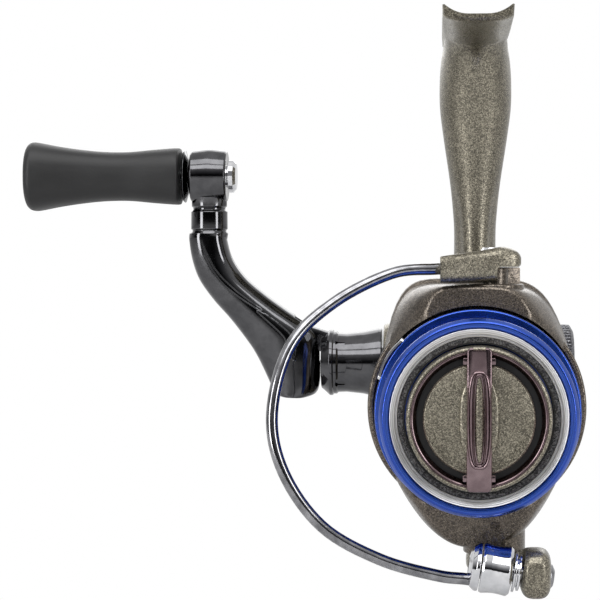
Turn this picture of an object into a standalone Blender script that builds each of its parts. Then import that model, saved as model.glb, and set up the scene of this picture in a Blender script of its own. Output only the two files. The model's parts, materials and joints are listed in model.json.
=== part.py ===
"""Open-face spinning reel, hanging under its rod foot.

Sizes are millimetres and MM turns them into metres where a mesh is made. Everything is placed from the empty
shaft_axis: the main shaft runs along Y through it, the spool is towards -Y, the handle is towards -X, and the
crank axis crosses at y = 0. A "forward" distance is measured from the crank axis towards the spool. The seat
of the foot is at the world origin.
"""

import math

import bmesh
import bpy
from mathutils import Matrix, Vector
from mathutils.geometry import convex_hull_2d

MM = 0.001
GAP = 0.3  # between neighbouring pieces
ROUND_STEPS = 28
SMALL_STEPS = 14

# Foot and stem
FOOT_HEIGHT = 67.0  # seat of the foot above the main shaft
FOOT_WIDTH = 12.2
FOOT_FRONT = 29.0
FOOT_REAR = 27.0
SEAT_LAND = 3.0  # flat strip along the middle of the saddle
SADDLE_RISE = 1.6
TOE_THICKNESS = 1.5
STEM_WIDTH = 7.6

# Gearbox
CRANK_HEIGHT = 6.5  # crank axis above the main shaft
WALL = 2.0
HOUSING_LEFT = -11.5
HOUSING_RIGHT = 8.5
COVER_THICKNESS = 2.2
COLLAR_RADIUS = 8.1
COLLAR_FRONT = 13.9
REAR_CUT = 16.8
GUARD_LENGTH = 6.5
BEARING_WIDTH = 2.4
BEARING_RADIUS = 6.0
BEARING_SEAT = 9.9  # inner face of the drive bearings, from the middle
CLUTCH_REAR = 8.7
DRIVE_TUBE_RADIUS = 3.0
DRIVE_TUBE_BORE = 2.3
BOSS_RADIUS = 7.4
LEFT_BOSS_END = 16.6
RIGHT_BOSS_END = 13.5
# Circles (y, z, radius) that the gearbox is drawn round, from the side
GEARBOX = (
    (-3.9, CRANK_HEIGHT + 3.5, 6.5),
    (-4.4, -7.0, 6.0),
    (4.0, -6.0, 8.5),
    (3.0, CRANK_HEIGHT + 2.0, 9.0),
    (10.5, -1.5, 8.0),
)
GEAR_SPACE = (*GEARBOX[:-1], (8.6, -1.5, 8.0))  # the same, less the rear wall
COVER_SCREWS = ((6.5, CRANK_HEIGHT + 8.1), (-7.3, -10.0), (14.4, -6.6))  # y, z
SCREW_SHANK = 0.7
SCREW_POST = 1.6
LEVER_AT = (-2.0, 6.0)  # x, y of the anti-reverse lever
LEVER_BLADE = -15.9

# Gears and main shaft
MAIN_SHAFT_RADIUS = 1.5
SHAFT_FRONT = 39.6
SHAFT_REAR = 7.6
PINION_TEETH = 10
PINION_RADIUS = 3.4
PINION_STEM = 2.9
PINION_FRONT = 20.2
DRIVE_TEETH = 52
DRIVE_GEAR_RADIUS = 8.0
OSCILLATION_TEETH = 18
OSCILLATION_RADIUS = 6.4
STEP_GEAR_TEETH = 10
STEP_GEAR_RADIUS = 3.6
OSCILLATION_AT = (7.4, -1.4)  # y, z
STROKE = 8.0  # of the spool, half each way from rest
SLIDER_LENGTH = 3.4
SLIDER_WIDTH = 6.4
SLIDER_AT = 4.7
SLIDER_TOP = 2.9
SLIDER_FLOOR = -8.4
ROD_RADIUS = 0.8
ROD_SPREAD = 1.8
ROD_HEIGHT = -7.2
ROD_FRONT = 9.4
ROD_REAR = 13.4
RACE_RADIUS = 5.6  # of the pinion bearing and the one-way clutch

# Rotor and bail
CUP_RADIUS = 18.9
CUP_WALL = 1.1
CUP_REAR = 10.9
CUP_FRONT = 20.5
WEB_REAR = 14.6
WEB_THICKNESS = 1.7
ARM_FRONT = 28.2
UPPER_FACE = 21.5  # outer face of the upper arm, from the main shaft
LOWER_FACE = 24.6
BAIL_PIVOT = (3.0, -23.0)  # x, y
PIVOT_BOSS = 5.0
PIVOT_SCREW = 1.2
WIRE_RADIUS = 1.0
ROLLER_AT = (3.0, -36.5, -25.4)
ROLLER_TILT = math.radians(8.0)
ROLLER_RADIUS = 4.2
ROLLER_WIDTH = 5.0
ROLLER_SCREW = 1.1
# Slices of the rotor arms: forward, half width, height of the crown
UPPER_ARM = (
    (11.5, 14.5, 20.6),
    (14.0, 14.6, 21.3),
    (19.0, 13.4, UPPER_FACE - 0.1),
    (23.0, 12.2, UPPER_FACE - 0.1),
    (26.5, 10.2, UPPER_FACE - 0.1),
    (ARM_FRONT, 7.5, 20.8),
)
LOWER_ARM = (
    (11.5, 14.5, 19.8),
    (15.0, 14.0, 21.3),
    (19.0, 13.0, 22.6),
    (23.0, 11.6, 23.4),
    (26.5, 9.6, 23.3),
    (ARM_FRONT, 7.0, 22.6),
)
TRIP_AT = (-3.4, -15.6, 19.4)
HOLDER_SINK = 26.2  # seat of the upper pivot screw
BAIL_ARM_FLOOR = -28.3
# Slices of the bail arm: forward, middle x, half width, lowest, highest
BAIL_ARM = (
    (17.6, 3.0, 1.6, -26.8, -24.2),
    (18.6, 3.0, 3.4, -27.8, -24.0),
    (21.0, 3.0, 4.8, BAIL_ARM_FLOOR, -24.0),
    (25.0, 3.6, 4.8, BAIL_ARM_FLOOR, -24.0),
    (28.4, 6.4, 3.8, -28.6, -23.8),
    (31.2, 8.8, 2.7, -29.2, -22.8),
    (34.0, 9.4, 2.6, -29.9, -22.0),
    (38.0, 9.4, 2.5, -30.0, -22.0),
    (40.0, 9.3, 2.0, -29.0, -23.0),
    (40.8, 9.2, 1.2, -27.6, -24.4),
)
# The wire from its holder round to the line roller
WIRE_PATH = (
    (-4.0, -27.2, 24.1),
    (-7.4, -28.5, 24.1),
    (-14.5, -30.8, 23.4),
    (-24.0, -34.5, 18.6),
    (-31.0, -38.0, 11.5),
    (-33.8, -40.8, 0.5),
    (-31.8, -42.1, -9.0),
    (-25.5, -42.0, -17.8),
    (-16.2, -40.4, -23.3),
    (-7.0, -38.2, -26.2),
    (ROLLER_AT[0] - ROLLER_WIDTH / 2 - 0.9, ROLLER_AT[1] - 0.3, ROLLER_AT[2] - 1.8),
)

# Spool and drag
LIP_RADIUS = 16.3
LIP_FRONT = 42.0
LIP_WIDTH = 1.6
LIP_DEPTH = 4.4
BARREL_RADIUS = 11.6
BARREL_LENGTH = 6.6
SKIRT_RADIUS = 16.9
SKIRT_FLANGE = 17.4
SKIRT_REAR = 21.0
SKIRT_WALL = 0.9
FLANGE_THICKNESS = 1.2
RECESS_RADIUS = 8.6
RECESS_FLOOR = 32.4
SPOOL_BORE = 2.0
SPOOL_HUB = 27.4
HUB_RADIUS = 7.0
CLICK_RADIUS = 5.6
CLIP_SPAN = (math.radians(137), math.radians(160))  # of the line clip, round the skirt
DRAG_RADIUS = 11.9
DRAG_FRONT = 44.4
DRAG_REAR = 38.6
DRAG_GAP = 2.8  # from the edge of the knob to its disc
DRAG_DISC_RADIUS = DRAG_RADIUS - DRAG_GAP
DRAG_GRIP_WIDTH = 4.1
DRAG_GRIP_LENGTH = 2 * DRAG_RADIUS - 0.4
WASHER_THICKNESS = 0.5

# Handle
SHANK_END = 28.0
FOLD_PIN = (-30.6, CRANK_HEIGHT + 4.8)  # x, z
LUG_THICKNESS = 3.0
LUG_RADIUS = 1.9
CRANK_RADIUS = 34.2  # knob axis above the crank axis
ARM_DEPTH = 8.0
EYE_RADIUS = 5.1
EYE_SPAN = (-52.2, -45.4)
KNOB_INNER = -53.9
KNOB_LENGTH = 28.6
SPINDLE_RADIUS = 2.0
CAP_RADIUS = 7.1
CAP_SPAN = (13.8, 17.9)
# Edges of the arm seen from the front: left x and height above the crank axis, then the right's
ARM_EDGES = (
    (-36.4, -5.7, -30.0, -5.9),
    (-37.4, -4.5, -28.4, -5.3),
    (-38.6, -1.5, -27.9, -1.0),
    (-39.9, 1.1, -27.9, 3.0),
    (-41.4, 3.5, -29.2, 6.4),
    (-44.7, 7.8, -34.6, 9.8),
    (-48.0, 11.5, -38.6, 12.7),
    (-50.6, 15.2, -42.2, 15.8),
    (-51.9, 18.8, -44.5, 19.1),
    (-52.5, 22.5, -45.5, 22.5),
    (-52.2, 26.5, -45.6, 26.5),
    (-51.8, 31.0, -45.9, 31.0),
)
# Slices of the knob: share of its length, half height, half depth
KNOB_STATIONS = (
    (0.0, 4.6, 5.0),
    (0.03, 5.2, 5.8),
    (0.18, 4.9, 5.6),
    (0.34, 4.45, 5.3),
    (0.5, 4.5, 5.4),
    (0.66, 5.0, 6.0),
    (0.8, 5.6, 6.8),
    (0.92, 6.25, 7.5),
    (0.97, 6.3, 7.5),
    (0.99, 5.8, 7.0),
    (1.0, 5.0, 6.2),
)

FRONT = (math.pi / 2, 0, 0)  # local Z points at the spool
HANDLE_SIDE = (0, -math.pi / 2, 0)  # local Z points at the handle
RIGHT_SIDE = (0, math.pi / 2, 0)
UP = (0, 0, 0)
SIDE_VIEW = (math.pi / 2, 0, math.pi / 2)  # local X and Y lie along Y and Z

for old in list(bpy.data.objects):
    bpy.data.objects.remove(old, do_unlink=True)
reel = bpy.data.collections.new("spinning_reel")
cutters = bpy.data.collections.new("cutters")
bpy.context.scene.collection.children.link(reel)
bpy.context.scene.collection.children.link(cutters)
shaft_axis = bpy.data.objects.new("shaft_axis", None)
shaft_axis.location.z = -FOOT_HEIGHT * MM
reel.objects.link(shaft_axis)


# ---------------------------------------------------------------- materials


def material(name, colour, roughness, metallic):
    """A Principled material; colour is linear red, green, blue."""
    look = bpy.data.materials.new(name)
    look.use_nodes = True
    shader = look.node_tree.nodes["Principled BSDF"]
    shader.inputs["Base Color"].default_value = (*colour, 1)
    shader.inputs["Roughness"].default_value = roughness
    shader.inputs["Metallic"].default_value = metallic
    look.diffuse_color = (*colour, 1)
    return look


OLIVE = material("olive_gunmetal_paint", (0.16, 0.14, 0.11), 0.35, 0.6)
UMBER = material("dark_rotor_paint", (0.07, 0.06, 0.05), 0.4, 0.6)
BLUE = material("blue_anodised_aluminium", (0.02, 0.08, 0.42), 0.25, 1.0)
SILVER = material("machined_aluminium", (0.5, 0.5, 0.5), 0.25, 1.0)
DARK_CHROME = material("dark_chrome", (0.1, 0.09, 0.09), 0.12, 1.0)
BLACK_CHROME = material("black_chrome", (0.04, 0.04, 0.045), 0.1, 1.0)
BRIGHT_CHROME = material("bright_chrome", (0.7, 0.7, 0.7), 0.08, 1.0)
STEEL = material("steel", (0.4, 0.4, 0.42), 0.3, 1.0)
BRASS = material("brass", (0.6, 0.42, 0.15), 0.35, 1.0)
RUBBER = material("black_rubber", (0.012, 0.012, 0.013), 0.7, 0.0)
NYLON = material("nylon", (0.5, 0.48, 0.42), 0.6, 0.0)
FELT = material("oiled_felt", (0.1, 0.08, 0.06), 0.9, 0.0)


# ---------------------------------------------------------------- ways of making

# Pieces whose many near-level faces the exact solver leaves open.
CLOSE_FITS = ("housing", "rotor", "bail_holder", "side_cover")


def settle(piece, look, smooth_angle=35):
    """Turns a piece with a curve or modifiers into a plain closed mesh, faces outwards, and paints it."""
    bpy.context.view_layer.update()
    graph = bpy.context.evaluated_depsgraph_get()
    mesh = bpy.data.meshes.new_from_object(piece.evaluated_get(graph))
    shape = bmesh.new()
    shape.from_mesh(mesh)
    bmesh.ops.remove_doubles(shape, verts=shape.verts, dist=0.001 * MM)
    bmesh.ops.recalc_face_normals(shape, faces=shape.faces)
    shape.to_mesh(mesh)
    shape.free()
    name = piece.name
    turn, spot = piece.rotation_euler.copy(), piece.location.copy()
    parent = piece.parent
    bpy.data.objects.remove(piece, do_unlink=True)
    made = bpy.data.objects.new(name, mesh)
    mesh.name = name
    reel.objects.link(made)
    made.parent = parent
    made.rotation_euler, made.location = turn, spot
    mesh.materials.clear()
    mesh.materials.append(look)
    mesh.shade_smooth()
    mesh.set_sharp_from_angle(angle=math.radians(smooth_angle))
    return made


def stand(name, data, turn, at):
    """A new object in the reel, turned, and placed from the shaft axis."""
    piece = bpy.data.objects.new(name, data)
    reel.objects.link(piece)
    piece.parent = shaft_axis
    piece.rotation_euler = turn
    piece.location = Vector(at) * MM
    return piece


def turned(name, outline, look, turn=FRONT, at=(0, 0, 0), steps=ROUND_STEPS, ring=False):
    """A turned piece. The outline is (radius, height) down its outer side, and a ring's closes on itself."""
    corners = [(radius * MM, 0, height * MM) for radius, height in outline]
    edges = [(i, i + 1) for i in range(len(corners) - 1)]
    if ring:
        edges.append((len(corners) - 1, 0))
    mesh = bpy.data.meshes.new(name)
    mesh.from_pydata(corners, edges, [])
    piece = stand(name, mesh, turn, at)
    screw = piece.modifiers.new("turn", "SCREW")
    screw.steps = screw.render_steps = steps
    screw.use_merge_vertices = True
    screw.merge_threshold = 0.001 * MM
    return settle(piece, look)


def disc(name, radius, low, high, look, turn=FRONT, at=(0, 0, 0), bore=0, edge=0.0, steps=ROUND_STEPS):
    """A round bar, or a ring where it has a bore, from one height to another, with its outer edges broken."""
    outer = [(radius, high), (radius, low)]
    if edge:
        outer = [(radius - edge, high), (radius, high - edge), (radius, low + edge), (radius - edge, low)]
    if bore:
        return turned(name, outer + [(bore, low), (bore, high)], look, turn, at, steps, ring=True)
    return turned(name, [(0, high)] + outer + [(0, low)], look, turn, at, steps)


def plate(name, outline, thickness, look, turn=UP, at=(0, 0, 0), edge=0.0):
    """A flat outline given thickness both ways from its plane, with its edges bevelled."""
    curve = bpy.data.curves.new(name, "CURVE")
    curve.dimensions = "2D"
    curve.fill_mode = "BOTH"
    curve.extrude = thickness / 2 * MM
    spline = curve.splines.new("POLY")
    spline.points.add(len(outline) - 1)
    for point, (across, along) in zip(spline.points, outline):
        point.co = (across * MM, along * MM, 0, 1)
    spline.use_cyclic_u = True
    piece = settle(stand(name, curve, turn, at), look)
    if edge:
        bevel = piece.modifiers.new("edge", "BEVEL")
        bevel.width = edge * MM
        bevel.segments = 2
        bevel.limit_method = "ANGLE"
        bevel.angle_limit = math.radians(40)
        piece = settle(piece, look)
    return piece


def block(name, size, look, at=(0, 0, 0), edge=0.0, turn=UP):
    """A box of the given size about its middle, with rounded edges."""
    shape = bmesh.new()
    bmesh.ops.create_cube(shape, size=1)
    bmesh.ops.scale(shape, vec=Vector(size) * MM, verts=shape.verts)
    mesh = bpy.data.meshes.new(name)
    shape.to_mesh(mesh)
    shape.free()
    piece = stand(name, mesh, turn, at)
    if edge:
        bevel = piece.modifiers.new("edge", "BEVEL")
        bevel.width = edge * MM
        bevel.segments = 2
    return settle(piece, look)


def loft(name, rings, look, at=(0, 0, 0), smooth_angle=40):
    """A skin through rings of points that have the same count, closed at both ends."""
    shape = bmesh.new()
    loops = [[shape.verts.new(Vector(point) * MM) for point in ring] for ring in rings]
    for near, far in zip(loops, loops[1:]):
        for i, corner in enumerate(near):
            after = (i + 1) % len(near)
            shape.faces.new((corner, near[after], far[after], far[i]))
    shape.faces.new(loops[0])
    shape.faces.new(loops[-1])
    mesh = bpy.data.meshes.new(name)
    shape.to_mesh(mesh)
    shape.free()
    return settle(stand(name, mesh, UP, at), look, smooth_angle)


def oval(centre, across, along, half_across, half_along, fullness=2.0, corners=14):
    """A ring of points: an ellipse at fullness 2, and boxier above that."""
    points = []
    for i in range(corners):
        angle = math.tau * (i + 0.5) / corners
        c, s = math.cos(angle), math.sin(angle)
        u = half_across * math.copysign(abs(c) ** (2 / fullness), c)
        v = half_along * math.copysign(abs(s) ** (2 / fullness), s)
        points.append(Vector(centre) + u * Vector(across) + v * Vector(along))
    return points


def tube(name, points, radius, look, at=(0, 0, 0), smooth=False, sides=2):
    """A round wire through points; smooth gives it a flowing curve instead of straight runs."""
    curve = bpy.data.curves.new(name, "CURVE")
    curve.dimensions = "3D"
    curve.bevel_depth = radius * MM
    curve.bevel_resolution = sides
    curve.use_fill_caps = True
    spline = curve.splines.new("BEZIER" if smooth else "POLY")
    if smooth:
        curve.resolution_u = 3
        spline.bezier_points.add(len(points) - 1)
        for knot, point in zip(spline.bezier_points, points):
            knot.co = Vector(point) * MM
            knot.handle_left_type = knot.handle_right_type = "AUTO"
    else:
        spline.points.add(len(points) - 1)
        for knot, point in zip(spline.points, points):
            knot.co = (*(Vector(point) * MM), 1)
    return settle(stand(name, curve, UP, at), look)


def coil(name, radius, wire, low, high, turns, look, turn=FRONT, at=(0, 0, 0), corners=10):
    """An open coil spring along its local Z."""
    count = turns * corners
    points = []
    for i in range(count + 1):
        angle = math.tau * i / corners
        height = low + wire + (high - low - 2 * wire) * i / count
        points.append((radius * math.cos(angle), radius * math.sin(angle), height))
    piece = tube(name, points, wire, look, at, sides=1)
    piece.rotation_euler = turn
    return piece


def combine(piece, tool, operation):
    """Adds a Boolean and puts its tool away with the cutters."""
    step = piece.modifiers.new(tool.name, "BOOLEAN")
    step.operation = operation
    step.solver = "MANIFOLD" if piece.name in CLOSE_FITS else "EXACT"
    step.object = tool
    tool.hide_render = True
    tool.display_type = "WIRE"
    reel.objects.unlink(tool)
    cutters.objects.link(tool)


def cut(piece, *tools):
    for tool in tools:
        combine(piece, tool, "DIFFERENCE")


def join(piece, *tools):
    for tool in tools:
        combine(piece, tool, "UNION")


def hull(circles, inset=0.0):
    """The outline round a set of (x, y, radius) circles, moved inwards by the inset."""
    steps = 18
    points = []
    for x, y, radius in circles:
        for i in range(steps):
            angle = math.tau * i / steps
            points.append((x + (radius - inset) * math.cos(angle), y + (radius - inset) * math.sin(angle)))
    return [points[i] for i in convex_hull_2d([Vector(point) for point in points])]


def toothed(teeth, tip, root):
    """The outline of a gear with straight-sided teeth."""
    points = []
    for i in range(teeth):
        for share, radius in ((0.0, root), (0.18, tip), (0.5, tip), (0.68, root)):
            angle = math.tau * (i + share) / teeth
            points.append((radius * math.cos(angle), radius * math.sin(angle)))
    return points


def screw(name, at, turn, head, head_height, shank, length, look=STEEL):
    """A slotted screw. Its head stands on local zero, and its shank goes down from there."""
    outline = [(0, head_height), (head - 0.4, head_height), (head, head_height * 0.5), (head, 0)]
    outline += [(shank, 0), (shank, -length), (0, -length)]
    piece = turned(name, outline, look, turn, at, 12)
    cut(piece, raised(block(f"{name}_slot", (head * 2.4, 0.5, 0.8), look, at, turn=turn), head_height))
    return piece


def raised(piece, height):
    """Moves the mesh of a piece along its own Z."""
    piece.data.transform(Matrix.Translation((0, 0, height * MM)))
    return piece


# ---------------------------------------------------------------- housing, stem and foot



def foot_section(y, thickness):
    """The foot across the reel: a saddle with a flat middle above, a shallow belly below."""
    half = FOOT_WIDTH / 2
    reach = half - SEAT_LAND / 2
    radius = (reach**2 + SADDLE_RISE**2) / (2 * SADDLE_RISE)
    top = []
    for share in (1.0, 0.75, 0.45):
        run = share * reach
        top.append((run + SEAT_LAND / 2, radius - math.sqrt(radius**2 - run**2)))
    top.append((SEAT_LAND / 2, 0.0))
    below = [(half * math.sin(a), -thickness * math.cos(a)) for a in (0.0, 0.5, 1.0)]
    right = top[::-1] + below[::-1]
    ring = [(x, z) for x, z in right] + [(-x, z) for x, z in right[-2::-1]]
    return [(x, y, z + FOOT_HEIGHT) for x, z in ring]


def make_housing():
    box = plate(
        "housing",
        hull(GEARBOX),
        HOUSING_RIGHT - HOUSING_LEFT,
        OLIVE,
        SIDE_VIEW,
        ((HOUSING_LEFT + HOUSING_RIGHT) / 2, 0, 0),
        edge=2.2,
    )
    cavity = plate(
        "gear_space",
        hull(GEAR_SPACE, WALL),
        HOUSING_RIGHT - HOUSING_LEFT,
        OLIVE,
        SIDE_VIEW,
        ((HOUSING_LEFT + HOUSING_RIGHT) / 2 + WALL, 0, 0),
    )
    toe, body = TOE_THICKNESS, 4.2
    foot = loft(
        "foot",
        [
            foot_section(-FOOT_FRONT, toe * 0.6),
            foot_section(-FOOT_FRONT + 1.2, toe),
            foot_section(-FOOT_FRONT + 10, toe + 1.4),
            foot_section(-8, body),
            foot_section(9, body),
            foot_section(FOOT_REAR - 10, toe + 1.4),
            foot_section(FOOT_REAR - 1.2, toe),
            foot_section(FOOT_REAR, toe * 0.6),
        ],
        OLIVE,
    )
    lean = STEM_WIDTH / 2
    wide = FOOT_WIDTH / 2 - 0.1
    stations = (
        (FOOT_HEIGHT - 2.4, wide - 0.4, -15.0, 16.0),
        (FOOT_HEIGHT - 5.0, wide, -11.5, 12.5),
        (FOOT_HEIGHT - 9.0, wide, -8.8, 10.0),
        (FOOT_HEIGHT - 14.0, wide - 0.2, -6.8, 8.3),
        (FOOT_HEIGHT - 20.0, lean + 1.3, -5.5, 7.4),
        (FOOT_HEIGHT - 27.0, lean + 0.4, -4.8, 7.2),
        (FOOT_HEIGHT - 35.0, lean, -4.4, 8.0),
        (23.0, lean + 0.2, -4.3, 10.0),
        (14.5, lean + 1.2, -4.6, 12.5),
    )
    rings = [
        oval((0, (front + rear) / 2, z), (1, 0, 0), (0, 1, 0), half, (rear - front) / 2, 2.3)
        for z, half, front, rear in stations
    ]
    stem = loft("stem", rings, OLIVE)
    collar = disc("front_collar", COLLAR_RADIUS, 7.0, COLLAR_FRONT, OLIVE, edge=0.4)
    collar_bore = disc("collar_bore", RACE_RADIUS + GAP, 6.0, COLLAR_FRONT + 1, OLIVE)
    crank = (0, 0, CRANK_HEIGHT)
    boss = turned(
        "left_boss",
        [
            (0, LEFT_BOSS_END),
            (BOSS_RADIUS - 0.8, LEFT_BOSS_END),
            (BOSS_RADIUS - 0.3, LEFT_BOSS_END - 0.6),
            (BOSS_RADIUS + 0.4, -HOUSING_LEFT + 1.0),
            (BOSS_RADIUS + 1.2, -HOUSING_LEFT - 1.4),
            (0, -HOUSING_LEFT - 1.4),
        ],
        OLIVE,
        HANDLE_SIDE,
        crank,
    )
    seat = disc("left_bearing_seat", BEARING_RADIUS + GAP, 8.0, 12.9, OLIVE, HANDLE_SIDE, crank, steps=24)
    way = disc("shank_way", DRIVE_TUBE_RADIUS + 0.6, 12.0, 18.0, OLIVE, HANDLE_SIDE, crank, steps=24)
    rear = block("rear_cut", (40, 20, 40), OLIVE, (0, REAR_CUT + 10, 0))
    lever_hole = disc("lever_hole", 1.5 + GAP, -16.0, -8.0, OLIVE, UP, (*LEVER_AT, 0), steps=SMALL_STEPS)
    rod_holes = [
        disc(
            f"rod_hole_{i}",
            ROD_RADIUS + GAP,
            -ROD_REAR - GAP,
            ROD_FRONT + GAP,
            OLIVE,
            at=(x, 0, ROD_HEIGHT),
            steps=10,
        )
        for i, x in enumerate((-ROD_SPREAD, ROD_SPREAD))
    ]
    posts = [
        disc(
            f"screw_post_{i}",
            SCREW_POST,
            HOUSING_LEFT + 1,
            HOUSING_RIGHT,
            OLIVE,
            RIGHT_SIDE,
            (0, y, z),
            steps=SMALL_STEPS,
        )
        for i, (y, z) in enumerate(COVER_SCREWS)
    ]
    join(box, stem, foot, boss, collar)
    cut(box, rear, cavity)
    join(box, *posts)
    cut(box, collar_bore, seat, way, lever_hole, *rod_holes)
    return box



def make_side_cover():
    middle = HOUSING_RIGHT + GAP + COVER_THICKNESS / 2
    crank = (0, 0, CRANK_HEIGHT)
    cover = plate("side_cover", hull(GEARBOX), COVER_THICKNESS, OLIVE, SIDE_VIEW, (middle, 0, 0), edge=0.9)
    boss_start = HOUSING_RIGHT + 1.0
    boss = disc("cover_boss", BOSS_RADIUS, boss_start, RIGHT_BOSS_END, OLIVE, RIGHT_SIDE, crank, edge=0.8)
    seat = disc("right_bearing_seat", BEARING_RADIUS + GAP, 7.0, 12.6, OLIVE, RIGHT_SIDE, crank, steps=24)
    way = disc("cap_way", DRIVE_TUBE_RADIUS + 0.6, 12.0, 15.0, OLIVE, RIGHT_SIDE, crank, steps=24)
    rear = block("cover_rear_cut", (40, 20, 40), OLIVE, (0, REAR_CUT + 10, 0))
    y, z = OSCILLATION_AT
    post = disc("gear_post", 1.5, 5.6, HOUSING_RIGHT + 1.2, OLIVE, RIGHT_SIDE, (0, y, z), steps=SMALL_STEPS)
    join(cover, boss, post)
    cut(cover, rear, seat, way)
    for i, (y, z) in enumerate(COVER_SCREWS):
        hole = disc(f"cover_hole_{i}", SCREW_SHANK + GAP, 4.0, 14.0, OLIVE, RIGHT_SIDE, (0, y, z), steps=12)
        cut(cover, hole)
        core = SCREW_SHANK + 0.1
        thread = disc(f"cover_thread_{i}", core, 5.0, 12.0, OLIVE, RIGHT_SIDE, (0, y, z), steps=12)
        cut(housing, thread)
        top = HOUSING_RIGHT + GAP + COVER_THICKNESS + GAP
        screw(f"cover_screw_{i + 1}", (top, y, z), RIGHT_SIDE, 1.5, 0.8, SCREW_SHANK, 5.6)
    return cover


def make_rear_guard():
    start = REAR_CUT + GAP
    middle = (HOUSING_LEFT + HOUSING_RIGHT) / 2 + 1.0
    rings = [
        oval((middle, start, -1.3), (1, 0, 0), (0, 0, 1), 9.0, 7.0, 3.2, 20),
        oval((middle, start + GUARD_LENGTH * 0.4, -1.5), (1, 0, 0), (0, 0, 1), 8.6, 6.6, 2.8, 20),
        oval((middle, start + GUARD_LENGTH * 0.8, -2.0), (1, 0, 0), (0, 0, 1), 6.4, 4.9, 2.5, 20),
        oval((middle, start + GUARD_LENGTH, -2.3), (1, 0, 0), (0, 0, 1), 3.4, 2.6, 2.2, 20),
    ]
    guard = loft("rear_guard", rings, UMBER)
    at = (middle, start + GUARD_LENGTH + GAP, -2.3)
    rear = (-math.pi / 2, 0, 0)
    hole = disc("guard_hole", SCREW_SHANK + GAP, -12.0, 2.0, UMBER, rear, at, steps=12)
    blind = disc("guard_thread", SCREW_SHANK + GAP, -GUARD_LENGTH - 1.6, 2.0, UMBER, rear, at, steps=12)
    cut(guard, hole)
    cut(housing, blind)
    screw("guard_screw", at, rear, 1.5, 0.8, SCREW_SHANK, GUARD_LENGTH + 1.2)
    return guard


def make_front_fittings():
    bore = PINION_STEM + GAP
    front = COLLAR_FRONT - GAP
    rear = front - BEARING_WIDTH
    low = BEARING_SEAT
    disc("pinion_bearing", RACE_RADIUS, rear, front, STEEL, bore=bore)
    disc("one_way_clutch", RACE_RADIUS, CLUTCH_REAR, rear - GAP, STEEL, bore=bore)
    for name, turn in (("drive_bearing_left", HANDLE_SIDE), ("drive_bearing_right", RIGHT_SIDE)):
        disc(
            name,
            BEARING_RADIUS,
            low,
            low + BEARING_WIDTH,
            STEEL,
            turn,
            (0, 0, CRANK_HEIGHT),
            bore=DRIVE_TUBE_RADIUS + GAP,
            steps=24,
        )
    for name, x in (("guide_rod_left", -ROD_SPREAD), ("guide_rod_right", ROD_SPREAD)):
        disc(name, ROD_RADIUS, -ROD_REAR, ROD_FRONT, STEEL, at=(x, 0, ROD_HEIGHT), edge=0.1, steps=12)


def make_anti_reverse_lever():
    x, y = LEVER_AT
    outline = hull([(0, 0, 2.6), (0, 7.0, 1.5)])
    lever = plate("anti_reverse_lever", outline, 1.6, UMBER, UP, (x, y, LEVER_BLADE), edge=0.4)
    stem = disc("lever_stem", 1.5, LEVER_BLADE, -10.8, UMBER, UP, (x, y, 0), steps=SMALL_STEPS)
    join(lever, stem)
    return lever


housing = make_housing()
side_cover = make_side_cover()
rear_guard = make_rear_guard()
make_front_fittings()
make_anti_reverse_lever()


# ---------------------------------------------------------------- drive, oscillation and main shaft


def make_drive():
    crank = (0, 0, CRANK_HEIGHT)
    gear = plate(
        "drive_gear",
        toothed(DRIVE_TEETH, DRIVE_GEAR_RADIUS, DRIVE_GEAR_RADIUS - 0.5),
        2.4,
        BRASS,
        SIDE_VIEW,
        (-PINION_RADIUS - GAP - 1.2, 0, CRANK_HEIGHT),
    )
    step = plate(
        "step_gear",
        toothed(STEP_GEAR_TEETH, STEP_GEAR_RADIUS, STEP_GEAR_RADIUS - 0.7),
        1.5,
        BRASS,
        SIDE_VIEW,
        (7.3, 0, CRANK_HEIGHT),
    )
    barrel = disc("drive_tube", DRIVE_TUBE_RADIUS, -12.7, 12.5, BRASS, RIGHT_SIDE, crank, steps=24)
    bore = disc("drive_bore", DRIVE_TUBE_BORE, -14.0, 14.0, BRASS, RIGHT_SIDE, crank, steps=24)
    join(gear, barrel, step)
    cut(gear, bore)

    y, z = OSCILLATION_AT
    wheel = plate(
        "oscillation_gear",
        toothed(OSCILLATION_TEETH, OSCILLATION_RADIUS, OSCILLATION_RADIUS - 0.7),
        1.5,
        NYLON,
        SIDE_VIEW,
        (7.3, y, z),
    )
    hole = disc("wheel_bore", 1.5 + GAP, 4.0, 9.0, NYLON, RIGHT_SIDE, (0, y, z), steps=SMALL_STEPS)
    pin_at = (0, y, z - STROKE / 2)
    pin_start = SLIDER_WIDTH / 2 + GAP
    crank_pin = disc("crank_pin", 1.0, pin_start, 7.0, NYLON, RIGHT_SIDE, pin_at, steps=SMALL_STEPS)
    join(wheel, crank_pin)
    cut(wheel, hole)


def make_main_shaft():
    disc("main_shaft", MAIN_SHAFT_RADIUS, -SHAFT_REAR, SHAFT_FRONT, STEEL, steps=SMALL_STEPS)
    size = (SLIDER_WIDTH, SLIDER_LENGTH, SLIDER_TOP - SLIDER_FLOOR)
    middle = (0, SLIDER_AT, (SLIDER_TOP + SLIDER_FLOOR) / 2)
    slider = block("crosswind_slider", size, NYLON, middle, edge=0.4)
    bore = disc("slider_bore", MAIN_SHAFT_RADIUS + 0.1, -20, 20, NYLON, steps=SMALL_STEPS)
    cut(slider, bore)
    for side in (-1, 1):
        at = (side * ROD_SPREAD, 0, ROD_HEIGHT)
        cut(slider, disc(f"slider_way_{side}", ROD_RADIUS + GAP, -20, 20, NYLON, at=at, steps=12))
    groove = block("slider_groove", (1.2, 2.4, 6.0), NYLON, (SLIDER_WIDTH / 2, SLIDER_AT, -2.4))
    cut(slider, groove)


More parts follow.
